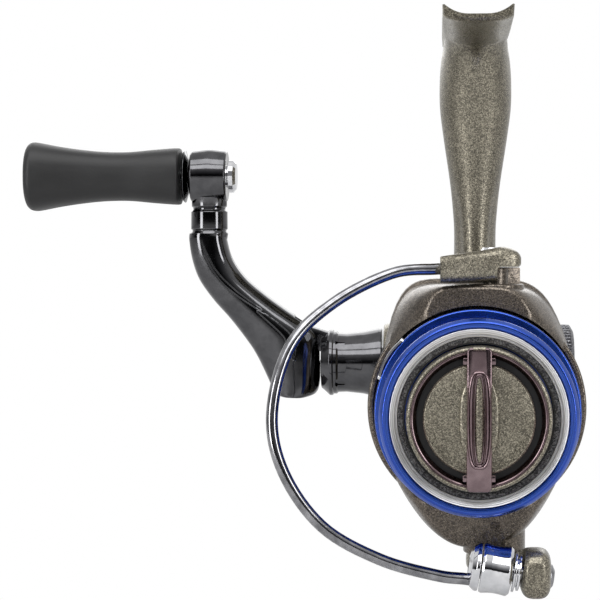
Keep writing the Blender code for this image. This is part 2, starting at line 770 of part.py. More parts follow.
def make_pinion():
    pinion = disc("pinion", PINION_STEM, 5.0, PINION_FRONT, BRASS, steps=24)
    teeth = plate(
        "pinion_teeth",
        toothed(PINION_TEETH, PINION_RADIUS, PINION_RADIUS - 0.8),
        5.0,
        BRASS,
        FRONT,
        (0, -4.0, 0),
    )
    bore = disc("pinion_bore", MAIN_SHAFT_RADIUS + GAP, -5.0, 25.0, BRASS, steps=SMALL_STEPS)
    join(pinion, teeth)
    cut(pinion, bore)


make_drive()
make_main_shaft()
make_pinion()


# ---------------------------------------------------------------- rotor and bail


def arm_section(forward, half, top, side, peak):
    """A slice of a rotor arm: the skirt's curve inside, a crown outside. side is 1 above and -1 below."""
    inner_radius = SKIRT_FLANGE + 0.5
    shares = (-1.0, -0.6, -0.2, 0.2, 0.6, 1.0)
    inner = [(share * half, math.sqrt(inner_radius**2 - (share * half) ** 2)) for share in shares]
    edge = inner[0][1] + 1.2
    crown = (-1.0, -0.85, -0.6, -0.3, 0.3, 0.6, 0.85, 1.0)
    outer = [(share * half, edge + (top - edge) * (1 - abs(share) ** peak)) for share in crown]
    return [(x, -forward, side * z) for x, z in inner + outer[::-1]]


def make_rotor():
    web_front = WEB_REAR + WEB_THICKNESS
    inner = CUP_RADIUS - CUP_WALL
    sleeve = SKIRT_RADIUS - SKIRT_WALL - 1.0
    outline = [
        (CUP_RADIUS - 0.5, CUP_FRONT),
        (CUP_RADIUS, CUP_FRONT - 0.6),
        (CUP_RADIUS, CUP_REAR + 1.5),
        (CUP_RADIUS - 1.2, CUP_REAR),
        (CUP_RADIUS - 2.4, CUP_REAR),
        (CUP_RADIUS - 2.4, WEB_REAR),
        (PINION_STEM + GAP, WEB_REAR),
        (PINION_STEM + GAP, web_front),
        (sleeve - 1.2, web_front),
        (sleeve - 1.2, web_front + 3.6),
        (sleeve, web_front + 3.6),
        (sleeve, web_front),
        (inner, web_front),
        (inner, CUP_FRONT),
    ]
    rotor = turned("rotor", outline, UMBER, steps=34, ring=True)
    upper = loft(
        "upper_arm",
        [arm_section(f, half, top, 1, 4.0) for f, half, top in UPPER_ARM],
        UMBER,
    )
    lower = loft(
        "lower_arm",
        [arm_section(f, half, top, -1, 2.2) for f, half, top in LOWER_ARM],
        UMBER,
    )
    x, y = BAIL_PIVOT
    base = SKIRT_FLANGE + 1.4
    top_boss = disc("upper_boss", PIVOT_BOSS, base, UPPER_FACE, UMBER, UP, (x, y, 0), steps=24)
    low_boss = disc("lower_boss", PIVOT_BOSS, -LOWER_FACE, -base, UMBER, UP, (x, y, 0), steps=24)
    pocket = disc("spring_pocket", 3.7, -LOWER_FACE - 1, -LOWER_FACE + 4.2, UMBER, UP, (x, y, 0), steps=24)
    bore = disc("pivot_bore", PIVOT_SCREW + 0.1, -30, 30, UMBER, UP, (x, y, 0), steps=SMALL_STEPS)
    join(rotor, upper, lower, top_boss, low_boss)
    channel = block("trip_channel", (2.6, 12.0, 2.2), UMBER, TRIP_AT)
    cut(rotor, pocket, bore, channel)
    coil("bail_spring", 2.6, 0.4, -LOWER_FACE + 0.2, -LOWER_FACE + 3.8, 3, STEEL, UP, (x, y, 0))
    block("trip_lever", (2.0, 8.4, 1.6), STEEL, (TRIP_AT[0], TRIP_AT[1] + 1.2, TRIP_AT[2]), edge=0.2)


def make_rotor_nut():
    low = WEB_REAR + WEB_THICKNESS + GAP
    corners = [(5.6 * math.cos(math.tau * i / 6), 5.6 * math.sin(math.tau * i / 6)) for i in range(6)]
    nut = plate("rotor_nut", corners, 2.4, STEEL, FRONT, (0, -low - 1.2, 0), edge=0.3)
    cut(nut, disc("nut_bore", PINION_STEM + 0.1, 10, 25, STEEL, steps=24))


def make_bail_holder():
    x, y = BAIL_PIVOT
    floor = UPPER_FACE + GAP
    stations = (
        (x + 4.1, y, 2.0, 2.6),
        (x + 3.2, y, 3.6, 4.6),
        (x + 1.0, y, 4.4, 5.9),
        (x - 2.0, y - 0.8, 4.2, 5.7),
        (x - 5.5, y - 3.0, 2.9, 5.0),
        (x - 9.2, y - 5.2, 2.2, 4.4),
    )
    rings = []
    for station, middle, half, height in stations:
        centre = (station, middle, floor + height / 2)
        rings.append(oval(centre, (0, 1, 0), (0, 0, 1), half, height / 2, 3.6))
    holder = loft("bail_holder", rings, OLIVE)
    bore = disc("holder_bore", PIVOT_SCREW + GAP, 18, 32, OLIVE, UP, (x, y, 0), steps=SMALL_STEPS)
    sink = disc("holder_sink", 2.9, HOLDER_SINK, 32, OLIVE, UP, (x, y, 0), steps=24)
    cut(holder, sink, bore)
    at = (x, y, HOLDER_SINK + GAP)
    screw("upper_pivot_screw", at, UP, 2.5, 1.2, PIVOT_SCREW, HOLDER_SINK - 19.4, BRIGHT_CHROME)


def make_bail_arm():
    x, y = BAIL_PIVOT
    roof = -LOWER_FACE - GAP
    rings = []
    for forward, middle, half, low, high in BAIL_ARM:
        centre = (middle, -forward, (low + high) / 2)
        rings.append(oval(centre, (1, 0, 0), (0, 0, 1), half, (high - low) / 2, 3.0))
    arm = loft("bail_arm", rings, OLIVE)
    clear = block("arm_roof", (16, 11.6, 8), OLIVE, (x, y + 0.2, roof + 4))
    bore = disc("arm_bore", PIVOT_SCREW + GAP, -34, -20, OLIVE, UP, (x, y, 0), steps=SMALL_STEPS)
    cut(arm, clear, bore)
    down = (math.pi, 0, 0)
    screw("lower_pivot_screw", (x, y, BAIL_ARM_FLOOR - GAP), down, 2.5, 1.1, PIVOT_SCREW, 8.0, BRIGHT_CHROME)
    return arm


def make_roller(arm):
    """Roller, bush and screw on an axis that falls a little towards the bail arm."""
    roller_turn = (0, math.pi / 2 + ROLLER_TILT, 0)
    half = ROLLER_WIDTH / 2
    groove = ROLLER_RADIUS - 0.7
    outline = [
        (ROLLER_RADIUS - 0.3, half),
        (ROLLER_RADIUS, half - 0.5),
        (groove, 0.6),
        (groove, -0.6),
        (ROLLER_RADIUS, -half + 0.5),
        (ROLLER_RADIUS - 0.3, -half),
        (ROLLER_SCREW + 0.9, -half),
        (ROLLER_SCREW + 0.9, half),
    ]
    turned("line_roller", outline, BRIGHT_CHROME, roller_turn, ROLLER_AT, 24, ring=True)
    bore = ROLLER_SCREW + GAP
    bush_end = half + 1.5
    disc("roller_bush", 3.3, half + GAP, bush_end, DARK_CHROME, roller_turn, ROLLER_AT, bore=bore, steps=24)
    length = 2 * half + 6.4
    head = half + 6.2
    across = (math.cos(ROLLER_TILT), 0, -math.sin(ROLLER_TILT))
    at = tuple(place + head * step for place, step in zip(ROLLER_AT, across))
    hole = disc("roller_screw_way", bore, 0, 12, OLIVE, roller_turn, ROLLER_AT, steps=SMALL_STEPS)
    low = head - GAP
    sink = disc("roller_screw_sink", 2.6, low, head + 4, OLIVE, roller_turn, ROLLER_AT, steps=SMALL_STEPS)
    face = disc("bush_face", 6.0, -4, half + 1.8, OLIVE, roller_turn, ROLLER_AT, steps=24)
    cut(arm, face, hole, sink)
    screw("roller_screw", at, roller_turn, 2.2, 0.9, ROLLER_SCREW, length, BRIGHT_CHROME)


def make_bail_wire():
    wire = tube("bail_wire", WIRE_PATH, WIRE_RADIUS, DARK_CHROME, smooth=True)
    roller_turn = (0, math.pi / 2 + ROLLER_TILT, 0)
    half = ROLLER_WIDTH / 2
    cone = turned(
        "wire_cone",
        [(0, -half - GAP), (3.6, -half - GAP), (3.6, -half - 0.9), (2.4, -half - 1.9), (0, -half - 1.9)],
        DARK_CHROME,
        roller_turn,
        ROLLER_AT,
        24,
    )
    way = ROLLER_SCREW + GAP
    bore = disc("cone_bore", way, -12, 0, DARK_CHROME, roller_turn, ROLLER_AT, steps=SMALL_STEPS)
    join(wire, cone)
    cut(wire, bore)
    way = tube("wire_socket", WIRE_PATH[:3], WIRE_RADIUS + GAP, OLIVE, smooth=True)
    cut(bpy.data.objects["bail_holder"], way)


make_rotor()
make_rotor_nut()
make_bail_holder()
bail_arm = make_bail_arm()
make_roller(bail_arm)
make_bail_wire()


# ---------------------------------------------------------------- spool and drag


def make_spool():
    neck = LIP_RADIUS - LIP_WIDTH - GAP
    back = LIP_FRONT - LIP_DEPTH
    base = back - 0.4 - BARREL_LENGTH
    inner = SKIRT_RADIUS - SKIRT_WALL
    outline = [
        (neck - 0.2, LIP_FRONT),
        (neck, LIP_FRONT - 0.2),
        (neck, back - 0.4),
        (BARREL_RADIUS, back - 0.4),
        (BARREL_RADIUS, base),
        (SKIRT_FLANGE - 0.3, base),
        (SKIRT_FLANGE, base - 0.3),
        (SKIRT_FLANGE, base - FLANGE_THICKNESS + 0.3),
        (SKIRT_RADIUS, base - FLANGE_THICKNESS),
        (SKIRT_RADIUS, SKIRT_REAR),
        (inner, SKIRT_REAR),
        (inner, base - FLANGE_THICKNESS - 0.3),
        (HUB_RADIUS, base - FLANGE_THICKNESS - 0.3),
        (HUB_RADIUS, SPOOL_HUB),
        (SPOOL_BORE, SPOOL_HUB),
        (SPOOL_BORE, RECESS_FLOOR),
        (RECESS_RADIUS, RECESS_FLOOR),
        (RECESS_RADIUS, DRAG_REAR - 0.6),
        (DRAG_RADIUS + GAP, DRAG_REAR - 0.6),
        (DRAG_RADIUS + GAP, LIP_FRONT - 1.2),
        (DRAG_RADIUS + 0.9, LIP_FRONT - 1.0),
    ]
    turned("spool", outline, SILVER, steps=34, ring=True)
    inside = LIP_RADIUS - LIP_WIDTH
    lip = [
        (LIP_RADIUS - 0.9, LIP_FRONT),
        (LIP_RADIUS - 0.25, LIP_FRONT - 0.3),
        (LIP_RADIUS, LIP_FRONT - 1.0),
        (LIP_RADIUS, back + 0.8),
        (LIP_RADIUS - 0.4, back),
        (inside, back),
        (inside, LIP_FRONT),
    ]
    turned("spool_lip", lip, BLUE, steps=34, ring=True)
    make_line_clip(base)


def make_line_clip(base):
    """A small bent strip on the front of the skirt flange."""
    start, end = CLIP_SPAN
    inner, outer = SKIRT_FLANGE - 1.5, SKIRT_FLANGE - 0.2
    steps = 6
    arc = [start + (end - start) * i / steps for i in range(steps + 1)]
    outline = [(inner * math.cos(a), inner * math.sin(a)) for a in arc]
    outline += [(outer * math.cos(a), outer * math.sin(a)) for a in arc[::-1]]
    plate("line_clip", outline, 0.8, BLUE, FRONT, (0, -base - GAP - 0.4, 0), edge=0.15)


def make_drag_stack():
    low = RECESS_FLOOR + GAP
    for i in range(3):
        disc(
            f"drag_washer_{i + 1}",
            RECESS_RADIUS - GAP,
            low,
            low + WASHER_THICKNESS,
            STEEL if i == 1 else FELT,
            bore=MAIN_SHAFT_RADIUS + GAP,
            edge=0.1,
            steps=24,
        )
        low += WASHER_THICKNESS + GAP
    outer, inner = RECESS_RADIUS - 0.35, RECESS_RADIUS - 1.1
    ring = [(outer, low + 0.6), (outer, low), (inner, low), (inner, low + 0.6)]
    turned("retaining_ring", ring, STEEL, steps=24, ring=True)
    coil("drag_spring", 2.8, 0.25, low, DRAG_REAR - 1.5, 2, STEEL)
    nut_low = DRAG_REAR + 0.1
    corners = [(3.6 * math.cos(math.tau * i / 6), 3.6 * math.sin(math.tau * i / 6)) for i in range(6)]
    nut = plate("drag_nut", corners, 1.8, BRASS, FRONT, (0, -nut_low - 0.9, 0), edge=0.2)
    cut(nut, disc("drag_nut_bore", MAIN_SHAFT_RADIUS + GAP, 30, 45, BRASS, steps=SMALL_STEPS))


def make_drag_knob():
    pocket = DRAG_FRONT - 2.2
    outline = [
        (DRAG_RADIUS - 0.7, DRAG_FRONT),
        (DRAG_RADIUS - 0.15, DRAG_FRONT - 0.4),
        (DRAG_RADIUS, DRAG_FRONT - 1.2),
        (DRAG_RADIUS, DRAG_REAR + 0.3),
        (DRAG_RADIUS - 0.3, DRAG_REAR),
        (DRAG_RADIUS - 1.6, DRAG_REAR),
        (DRAG_RADIUS - 1.6, pocket - 1.0),
        (0, pocket - 1.0),
    ]
    inside = [(0, pocket), (DRAG_RADIUS - 1.1, pocket), (DRAG_RADIUS - 1.1, DRAG_FRONT)]
    turned("drag_knob", inside + outline, OLIVE, steps=36)
    ring = [
        (DRAG_RADIUS - 1.6, DRAG_FRONT - 0.2),
        (DRAG_RADIUS - 1.4, DRAG_FRONT - 0.5),
        (DRAG_RADIUS - 1.4, pocket + GAP),
        (DRAG_DISC_RADIUS + GAP, pocket + GAP),
        (DRAG_DISC_RADIUS + GAP, DRAG_FRONT - 0.4),
    ]
    turned("drag_knob_ring", ring, DARK_CHROME, steps=36, ring=True)
    crown = [(0, DRAG_FRONT + 0.2), (4.0, DRAG_FRONT), (DRAG_DISC_RADIUS - 1, DRAG_FRONT - 0.6)]
    crown += [(DRAG_DISC_RADIUS, DRAG_FRONT - 1.0), (DRAG_DISC_RADIUS, pocket + GAP), (0, pocket + GAP)]
    turned("drag_knob_disc", crown, OLIVE, steps=28)

    half = DRAG_GRIP_LENGTH / 2
    width = DRAG_GRIP_WIDTH / 2
    floor = DRAG_FRONT + 0.2 + GAP
    ends = [(0, half - width, width), (0, width - half, width)]
    bar = plate("drag_knob_grip", hull(ends), 1.3, DARK_CHROME, FRONT, (0, -floor - 0.65, 0), edge=0.4)
    rib = plate(
        "grip_rib",
        hull([(0, half * 0.52, width * 0.6), (0, -half * 0.52, width * 0.6)]),
        1.0,
        DARK_CHROME,
        FRONT,
        (0, -floor - 1.5, 0),
        edge=0.3,
    )
    join(bar, rib)


def make_clicker():
    teeth = toothed(20, CLICK_RADIUS, CLICK_RADIUS - 0.6)
    gear = plate("click_gear", teeth, 1.0, NYLON, FRONT, (0, -SPOOL_HUB + 0.9, 0))
    cut(gear, disc("click_bore", MAIN_SHAFT_RADIUS + 0.1, 15, 40, NYLON, steps=SMALL_STEPS))
    pawl = block("click_pawl", (1.2, 2.6, 2.2), STEEL, (0, -SPOOL_HUB - 0.1, HUB_RADIUS + 1.4))
    nose = block("pawl_nose", (0.6, 0.8, 2.4), STEEL, (0, -SPOOL_HUB + 0.8, CLICK_RADIUS + GAP + 1.2))
    join(pawl, nose)


make_spool()
make_drag_stack()
make_drag_knob()
make_clicker()


# ---------------------------------------------------------------- handle


def make_shank():
    crank = (0, 0, CRANK_HEIGHT)
    outline = [
        (0, SHANK_END),
        (4.6, SHANK_END),
        (4.95, SHANK_END - 0.3),
        (6.0, SHANK_END - 1.6),
        (5.9, SHANK_END - 2.4),
        (5.4, SHANK_END - 4.4),
        (5.7, SHANK_END - 7.4),
        (6.3, LEFT_BOSS_END + 0.8),
        (6.3, LEFT_BOSS_END + GAP),
        (DRIVE_TUBE_RADIUS, LEFT_BOSS_END + GAP),
        (DRIVE_TUBE_RADIUS, 13.0),
        (DRIVE_TUBE_BORE - GAP, 13.0),
        (DRIVE_TUBE_BORE - GAP, -15.0),
        (0, -15.0),
    ]
    shank = turned("handle_shank", outline, BLACK_CHROME, HANDLE_SIDE, crank)
    x, z = FOLD_PIN
    root = SHANK_END - 1.0
    lug = plate(
        "fold_lug",
        hull([(x, z, LUG_RADIUS), (-root + 1.5, z - 1.4, LUG_RADIUS)]),
        LUG_THICKNESS,
        BLACK_CHROME,
        FRONT,
    )
    pin_way = disc("lug_bore", 0.8 + 0.1, -10, 10, BLACK_CHROME, FRONT, (x, 0, z), steps=SMALL_STEPS)
    join(shank, lug)
    cut(shank, pin_way)


def make_arm():
    rings = []
    for left, left_rise, right, right_rise in ARM_EDGES:
        left_height, right_height = CRANK_HEIGHT + left_rise, CRANK_HEIGHT + right_rise
        start, end = Vector((left, 0, left_height)), Vector((right, 0, right_height))
        slope = (end - start).normalized()
        share = (left_height + right_height) / 2 / (CRANK_HEIGHT + CRANK_RADIUS)
        depth = ARM_DEPTH * (1.0 - 0.16 * min(1.0, share))
        rings.append(oval((start + end) / 2, slope, (0, 1, 0), (end - start).length / 2, depth / 2, 3.2))
    arm = loft("handle_arm", rings, BLACK_CHROME)
    top = (0, 0, CRANK_HEIGHT + CRANK_RADIUS)
    outer, inner = EYE_SPAN
    eye = disc("knob_eye", EYE_RADIUS, -inner, -outer, BLACK_CHROME, HANDLE_SIDE, top, edge=0.7, steps=28)
    bore = disc("eye_bore", SPINDLE_RADIUS + 0.1, 40, 60, BLACK_CHROME, HANDLE_SIDE, top, steps=SMALL_STEPS)
    face = block("arm_face", (20, 20, 40), BLACK_CHROME, (-SHANK_END - GAP - 0.1 + 10, 0, 0))
    x, z = FOLD_PIN
    slot = block("lug_slot", (6.6, LUG_THICKNESS + 2 * GAP, 12.0), BLACK_CHROME, (x + 0.9, 0, z + 1.6))
    pin_way = disc("arm_pin_way", 0.8 + 0.1, -10, 10, BLACK_CHROME, FRONT, (x, 0, z), steps=SMALL_STEPS)
    join(arm, eye)
    cut(arm, bore, face, slot, pin_way)
    reach = ARM_DEPTH / 2 - 0.8
    disc("fold_pin", 0.8, -reach, reach, STEEL, FRONT, (x, 0, z), edge=0.1, steps=12)


def make_knob():
    top = (0, 0, CRANK_HEIGHT + CRANK_RADIUS)
    outer, inner = EYE_SPAN
    head = -inner - GAP - 0.5
    tip = -KNOB_INNER + KNOB_LENGTH - 2.4
    spindle = [
        (0, tip),
        (SPINDLE_RADIUS - 0.3, tip),
        (SPINDLE_RADIUS - 0.3, -outer + 0.4),
        (SPINDLE_RADIUS, -outer + 0.2),
        (SPINDLE_RADIUS, -inner - GAP),
        (3.0, -inner - GAP),
        (3.0, head - 0.3),
        (2.4, head - 0.8),
        (0, head - 0.8),
    ]
    turned("knob_spindle", spindle, STEEL, HANDLE_SIDE, top, 20)
    low, high = -outer + GAP, -KNOB_INNER - GAP
    way = SPINDLE_RADIUS + GAP
    disc("knob_washer", 4.0, low, high, BLACK_CHROME, HANDLE_SIDE, top, bore=way, steps=24)
    rings = []
    for share, height, depth in KNOB_STATIONS:
        x = KNOB_INNER - share * KNOB_LENGTH
        centre = (x, 0, CRANK_HEIGHT + CRANK_RADIUS)
        rings.append(oval(centre, (0, 1, 0), (0, 0, 1), depth, height, 2.6, 16))
    knob = loft("handle_knob", rings, RUBBER, smooth_angle=50)
    deep = -KNOB_INNER + KNOB_LENGTH - 2.0
    bore = disc("knob_bore", SPINDLE_RADIUS + 0.1, 40, deep, RUBBER, HANDLE_SIDE, top, steps=SMALL_STEPS)
    socket = disc("cap_socket", 3.3, -KNOB_INNER + KNOB_LENGTH - 1.0, 100, RUBBER, HANDLE_SIDE, top, steps=24)
    cut(knob, bore, socket)
    end = -KNOB_INNER + KNOB_LENGTH
    disc("knob_end_cap", 3.0, end - 0.7, end + 0.1, BLACK_CHROME, HANDLE_SIDE, top, edge=0.2, steps=24)


def make_screw_cap():
    low, high = CAP_SPAN
    cap = plate(
        "handle_screw_cap",
        toothed(28, CAP_RADIUS, CAP_RADIUS - 0.35),
        high - low,
        BLACK_CHROME,
        SIDE_VIEW,
        ((low + high) / 2, 0, CRANK_HEIGHT),
    )
    crank = (0, 0, CRANK_HEIGHT)
    socket = disc("cap_bore", DRIVE_TUBE_BORE, 10.0, 15.3, BLACK_CHROME, RIGHT_SIDE, crank, steps=24)
    face = turned(
        "cap_face",
        [
            (0, high + 3),
            (12, high + 3),
            (12, high - 2.0),
            (CAP_RADIUS - 1.2, high),
            (CAP_RADIUS - 1.6, high - 0.5),
            (0, high - 0.5),
        ],
        BLACK_CHROME,
        RIGHT_SIDE,
        crank,
        36,
    )
    cut(cap, socket, face)


make_shank()
make_arm()
make_knob()
make_screw_cap()
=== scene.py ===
"""Looks of the open-face spinning reel: finely modelled pieces and procedural finishes round the CAD frame."""

import json
import math

import bmesh
import bpy
from mathutils import Matrix, Vector
from mathutils.geometry import convex_hull_2d


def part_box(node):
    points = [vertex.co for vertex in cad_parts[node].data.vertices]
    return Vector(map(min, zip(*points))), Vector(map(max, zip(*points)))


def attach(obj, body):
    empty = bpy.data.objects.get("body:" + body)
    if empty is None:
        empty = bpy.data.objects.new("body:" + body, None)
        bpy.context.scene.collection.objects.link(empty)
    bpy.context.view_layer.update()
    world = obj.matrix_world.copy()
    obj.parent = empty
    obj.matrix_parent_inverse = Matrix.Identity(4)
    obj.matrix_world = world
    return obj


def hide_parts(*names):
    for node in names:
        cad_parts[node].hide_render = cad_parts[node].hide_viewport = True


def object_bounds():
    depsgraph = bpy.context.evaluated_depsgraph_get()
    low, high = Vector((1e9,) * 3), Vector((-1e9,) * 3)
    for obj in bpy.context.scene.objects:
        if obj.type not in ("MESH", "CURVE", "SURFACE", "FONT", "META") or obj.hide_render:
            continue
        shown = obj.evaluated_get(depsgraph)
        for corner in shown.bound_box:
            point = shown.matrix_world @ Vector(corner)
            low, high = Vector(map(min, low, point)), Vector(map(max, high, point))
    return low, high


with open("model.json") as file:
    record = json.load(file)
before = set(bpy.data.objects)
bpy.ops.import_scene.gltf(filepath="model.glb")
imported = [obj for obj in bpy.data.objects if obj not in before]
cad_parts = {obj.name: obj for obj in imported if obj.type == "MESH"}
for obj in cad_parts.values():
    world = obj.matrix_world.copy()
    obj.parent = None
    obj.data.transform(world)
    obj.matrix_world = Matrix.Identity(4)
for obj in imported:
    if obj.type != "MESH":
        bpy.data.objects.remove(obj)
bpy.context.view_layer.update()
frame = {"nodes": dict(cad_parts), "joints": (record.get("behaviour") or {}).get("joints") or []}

MM = 0.001
NODES = frame["nodes"]
JOINTS = {joint["name"]: joint for joint in frame["joints"]}
SHAFT = Vector((0, 0, JOINTS["rotor_turn"]["pos_m"][2]))
CRANK = Vector(JOINTS["crank_turn"]["pos_m"])
ROLLER = Vector(JOINTS["roller_turn"]["pos_m"])
ROLLER_AXIS = Vector(JOINTS["roller_turn"]["axis"]).normalized()

RIGHT, REAR, UP = Vector((1, 0, 0)), Vector((0, 1, 0)), Vector((0, 0, 1))
LEFT, FRONT, DOWN = -RIGHT, -REAR, -UP


def size(node, axis):
    """The lowest and highest place of a CAD node along an axis, in millimetres."""
    low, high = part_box(node)
    return low[axis] / MM, high[axis] / MM


# ---------------------------------------------------------------- modelling


def begin(name, adder, **settings):
    """Starts a piece from a primitive, with nothing else selected, and stays in edit mode."""
    if bpy.context.mode != "OBJECT":
        bpy.ops.object.mode_set(mode="OBJECT")
    bpy.ops.object.select_all(action="DESELECT")
    adder(**settings)
    piece = bpy.context.active_object
    piece.name = piece.data.name = name
    bpy.ops.object.mode_set(mode="EDIT")
    return piece


def close_up(merge=0.001 * MM):
    """Merges doubles, turns the faces outwards and leaves edit mode."""
    bpy.ops.mesh.select_all(action="SELECT")
    bpy.ops.mesh.remove_doubles(threshold=merge)
    bpy.ops.mesh.normals_make_consistent(inside=False)
    bpy.ops.object.mode_set(mode="OBJECT")


def trace(points, closed):
    """Draws a line of edges through points, in edit mode, starting from one corner."""
    bpy.ops.mesh.select_all(action="SELECT")
    bpy.ops.mesh.merge(type="CENTER")
    spot = Vector((0, 0, 0))
    for i, point in enumerate(points):
        step = point - spot
        if i:
            bpy.ops.mesh.extrude_vertices_move(TRANSFORM_OT_translate={"value": step})
        else:
            bpy.ops.transform.translate(value=step)
        spot = point
    if closed:
        shape = bmesh.from_edit_mesh(bpy.context.active_object.data)
        shape.verts.ensure_lookup_table()
        for corner in shape.verts:
            corner.select = corner.index in (0, len(points) - 1)
        shape.select_flush(True)
        bmesh.update_edit_mesh(bpy.context.active_object.data)
        bpy.ops.mesh.edge_face_add()


def rounded(outline, closed=True, steps=5):
    """The outline with its corners rounded. A corner is (across, along) or (across, along, radius)."""
    result = []
    count = len(outline)
    for i, corner in enumerate(outline):
        here = Vector(corner[:2])
        if len(corner) < 3 or (not closed and i in (0, count - 1)):
            result.append(here)
            continue
        before = (Vector(outline[i - 1][:2]) - here).normalized()
        after = (Vector(outline[(i + 1) % count][:2]) - here).normalized()
        half = before.angle(after) / 2
        reach = corner[2] / math.tan(half)
        middle = here + (before + after).normalized() * (corner[2] / math.sin(half))
        start = here + before * reach - middle
        end = here + after * reach - middle
        for k in range(steps + 1):
            result.append(middle + start.lerp(end, k / steps).normalized() * corner[2])
    return result


def turn_on_lathe(name, outline, origin, axis, side, steps=96, ring=True):
    """A piece turned round an axis. The outline is (radius, distance along the axis[, corner radius])."""
    piece = begin(name, bpy.ops.mesh.primitive_plane_add, size=MM)
    points = [origin + side * (across * MM) + axis * (along * MM) for across, along in rounded(outline, ring)]
    trace(points, ring)
    bpy.ops.mesh.select_all(action="SELECT")
    bpy.ops.mesh.spin(steps=steps, angle=math.tau, center=origin, axis=axis)
    close_up()
    return piece


def cut_from_plate(name, outline, origin, across, along, thickness, edge=0.0, segments=3):
    """A flat outline given thickness along its normal, with its edges bevelled."""
    piece = begin(name, bpy.ops.mesh.primitive_plane_add, size=MM)
    normal = across.cross(along)
    start = origin - normal * (thickness * MM / 2)
    trace([start + across * (u * MM) + along * (v * MM) for u, v in outline], True)
    bpy.ops.mesh.select_all(action="SELECT")
    bpy.ops.mesh.edge_face_add()
    bpy.ops.mesh.extrude_region_move(TRANSFORM_OT_translate={"value": normal * (thickness * MM)})
    close_up()
    if edge:
        soften(piece, edge, segments)
    return piece


def skin_over(name, rings, levels=1, caps=True):
    """A skin bridged over rings of points, closed at both ends if it has caps, and smoothed."""
    count = len(rings[0])
    piece = begin(name, bpy.ops.mesh.primitive_circle_add, vertices=count, radius=MM)
    for _ in rings[1:]:
        bpy.ops.mesh.primitive_circle_add(vertices=count, radius=MM)
    shape = bmesh.from_edit_mesh(piece.data)
    shape.verts.ensure_lookup_table()
    for k, ring in enumerate(rings):
        for i, point in enumerate(ring):
            shape.verts[k * count + i].co = point
    for k in range(len(rings) - 1):
        for corner in shape.verts:
            corner.select = k * count <= corner.index < (k + 2) * count
        for edge in shape.edges:
            edge.select = all(corner.select for corner in edge.verts) and len(edge.link_faces) < 2
        bmesh.update_edit_mesh(piece.data)
        bpy.ops.mesh.bridge_edge_loops()
        shape = bmesh.from_edit_mesh(piece.data)
        shape.verts.ensure_lookup_table()
    for k in (0, len(rings) - 1) if caps else ():
        bpy.ops.mesh.select_all(action="DESELECT")
        shape = bmesh.from_edit_mesh(piece.data)
        shape.verts.ensure_lookup_table()
        for corner in shape.verts:
            corner.select = k * count <= corner.index < (k + 1) * count
        shape.select_flush(True)
        bmesh.update_edit_mesh(piece.data)
        bpy.ops.mesh.edge_face_add()
        bpy.ops.mesh.inset(thickness=0.12 * MM)
    close_up()
    if levels:
        smooth_out(piece, levels)
    return piece


def ellipse(centre, across, along, half_across, half_along, fullness=2.0, count=24, turn=0.5):
    """Points round a centre: an ellipse at fullness 2, and boxier above that."""
    points = []
    for i in range(count):
        angle = math.tau * (i + turn) / count
        c, s = math.cos(angle), math.sin(angle)
        u = half_across * math.copysign(abs(c) ** (2 / fullness), c)
        v = half_along * math.copysign(abs(s) ** (2 / fullness), s)
        points.append(centre + across * (u * MM) + along * (v * MM))
    return points


def use(piece, kind, **settings):
    """Adds a modifier with its settings and applies it."""
    modifier = piece.modifiers.new(kind.lower(), kind)
    for name, value in settings.items():
        setattr(modifier, name, value)
    bpy.ops.object.select_all(action="DESELECT")
    piece.select_set(True)
    bpy.context.view_layer.objects.active = piece
    bpy.ops.object.modifier_apply(modifier=modifier.name)


def soften(piece, width, segments=3, angle=30):
    use(
        piece,
        "BEVEL",
        width=width * MM,
        segments=segments,
        limit_method="ANGLE",
        angle_limit=math.radians(angle),
        use_clamp_overlap=True,
    )


def smooth_out(piece, levels):
    use(piece, "SUBSURF", levels=levels, render_levels=levels)


def fuse(piece, *others):
    """Joins solids into one, and removes those that were added."""
    for other in others:
        use(piece, "BOOLEAN", operation="UNION", object=other, solver="EXACT")
        bpy.data.objects.remove(other, do_unlink=True)
    return piece


def carve(piece, *tools):
    for tool in tools:
        use(piece, "BOOLEAN", operation="DIFFERENCE", object=tool, solver="EXACT")
        bpy.data.objects.remove(tool, do_unlink=True)
    return piece


def bar(name, radius, origin, axis, low, high, steps=32):
    """A plain round bar, used to carve or to fuse."""
    side = axis.orthogonal().normalized()
    outline = [(0, high), (radius, high), (radius, low), (0, low)]
    return turn_on_lathe(name, outline, origin, axis, side, steps, ring=False)


def block(name, centre, sizes):
    piece = begin(name, bpy.ops.mesh.primitive_cube_add, size=MM, location=centre)
    bpy.ops.transform.resize(value=sizes)
    close_up()
    apply_place(piece)
    return piece


def apply_place(piece):
    bpy.ops.object.select_all(action="DESELECT")
    piece.select_set(True)
    bpy.context.view_layer.objects.active = piece
    bpy.ops.object.transform_apply(location=True, rotation=True, scale=True)


def hand_over(piece, body, look, slot, *nodes, angle=35):
    """Smooths, paints and hands a finished piece to its body; it stands for the CAD nodes named."""
    apply_place(piece)
    bpy.ops.object.shade_smooth_by_angle(angle=math.radians(angle))
    piece.data.materials.clear()
    piece.data.materials.append(look)
    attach(piece, body)
    if nodes:
        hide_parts(*nodes)
    return piece


# ---------------------------------------------------------------- finishes


def linear(code):
    """Linear red, green, blue and alpha of an sRGB hex colour."""
    parts = [int(code[i : i + 2], 16) / 255 for i in (1, 3, 5)]
    return (*(p / 12.92 if p <= 0.04045 else ((p + 0.055) / 1.055) ** 2.4 for p in parts), 1.0)


def add(tree, kind, inputs=None, **settings):
    """Adds a node with its settings; an input takes a value or another node's socket."""
    made = tree.nodes.new(kind)
    for name, value in settings.items():
        setattr(made, name, value)
    for name, value in (inputs or {}).items():
        if isinstance(value, bpy.types.NodeSocket):
            tree.links.new(value, made.inputs[name])
        else:
            made.inputs[name].default_value = value
    return made


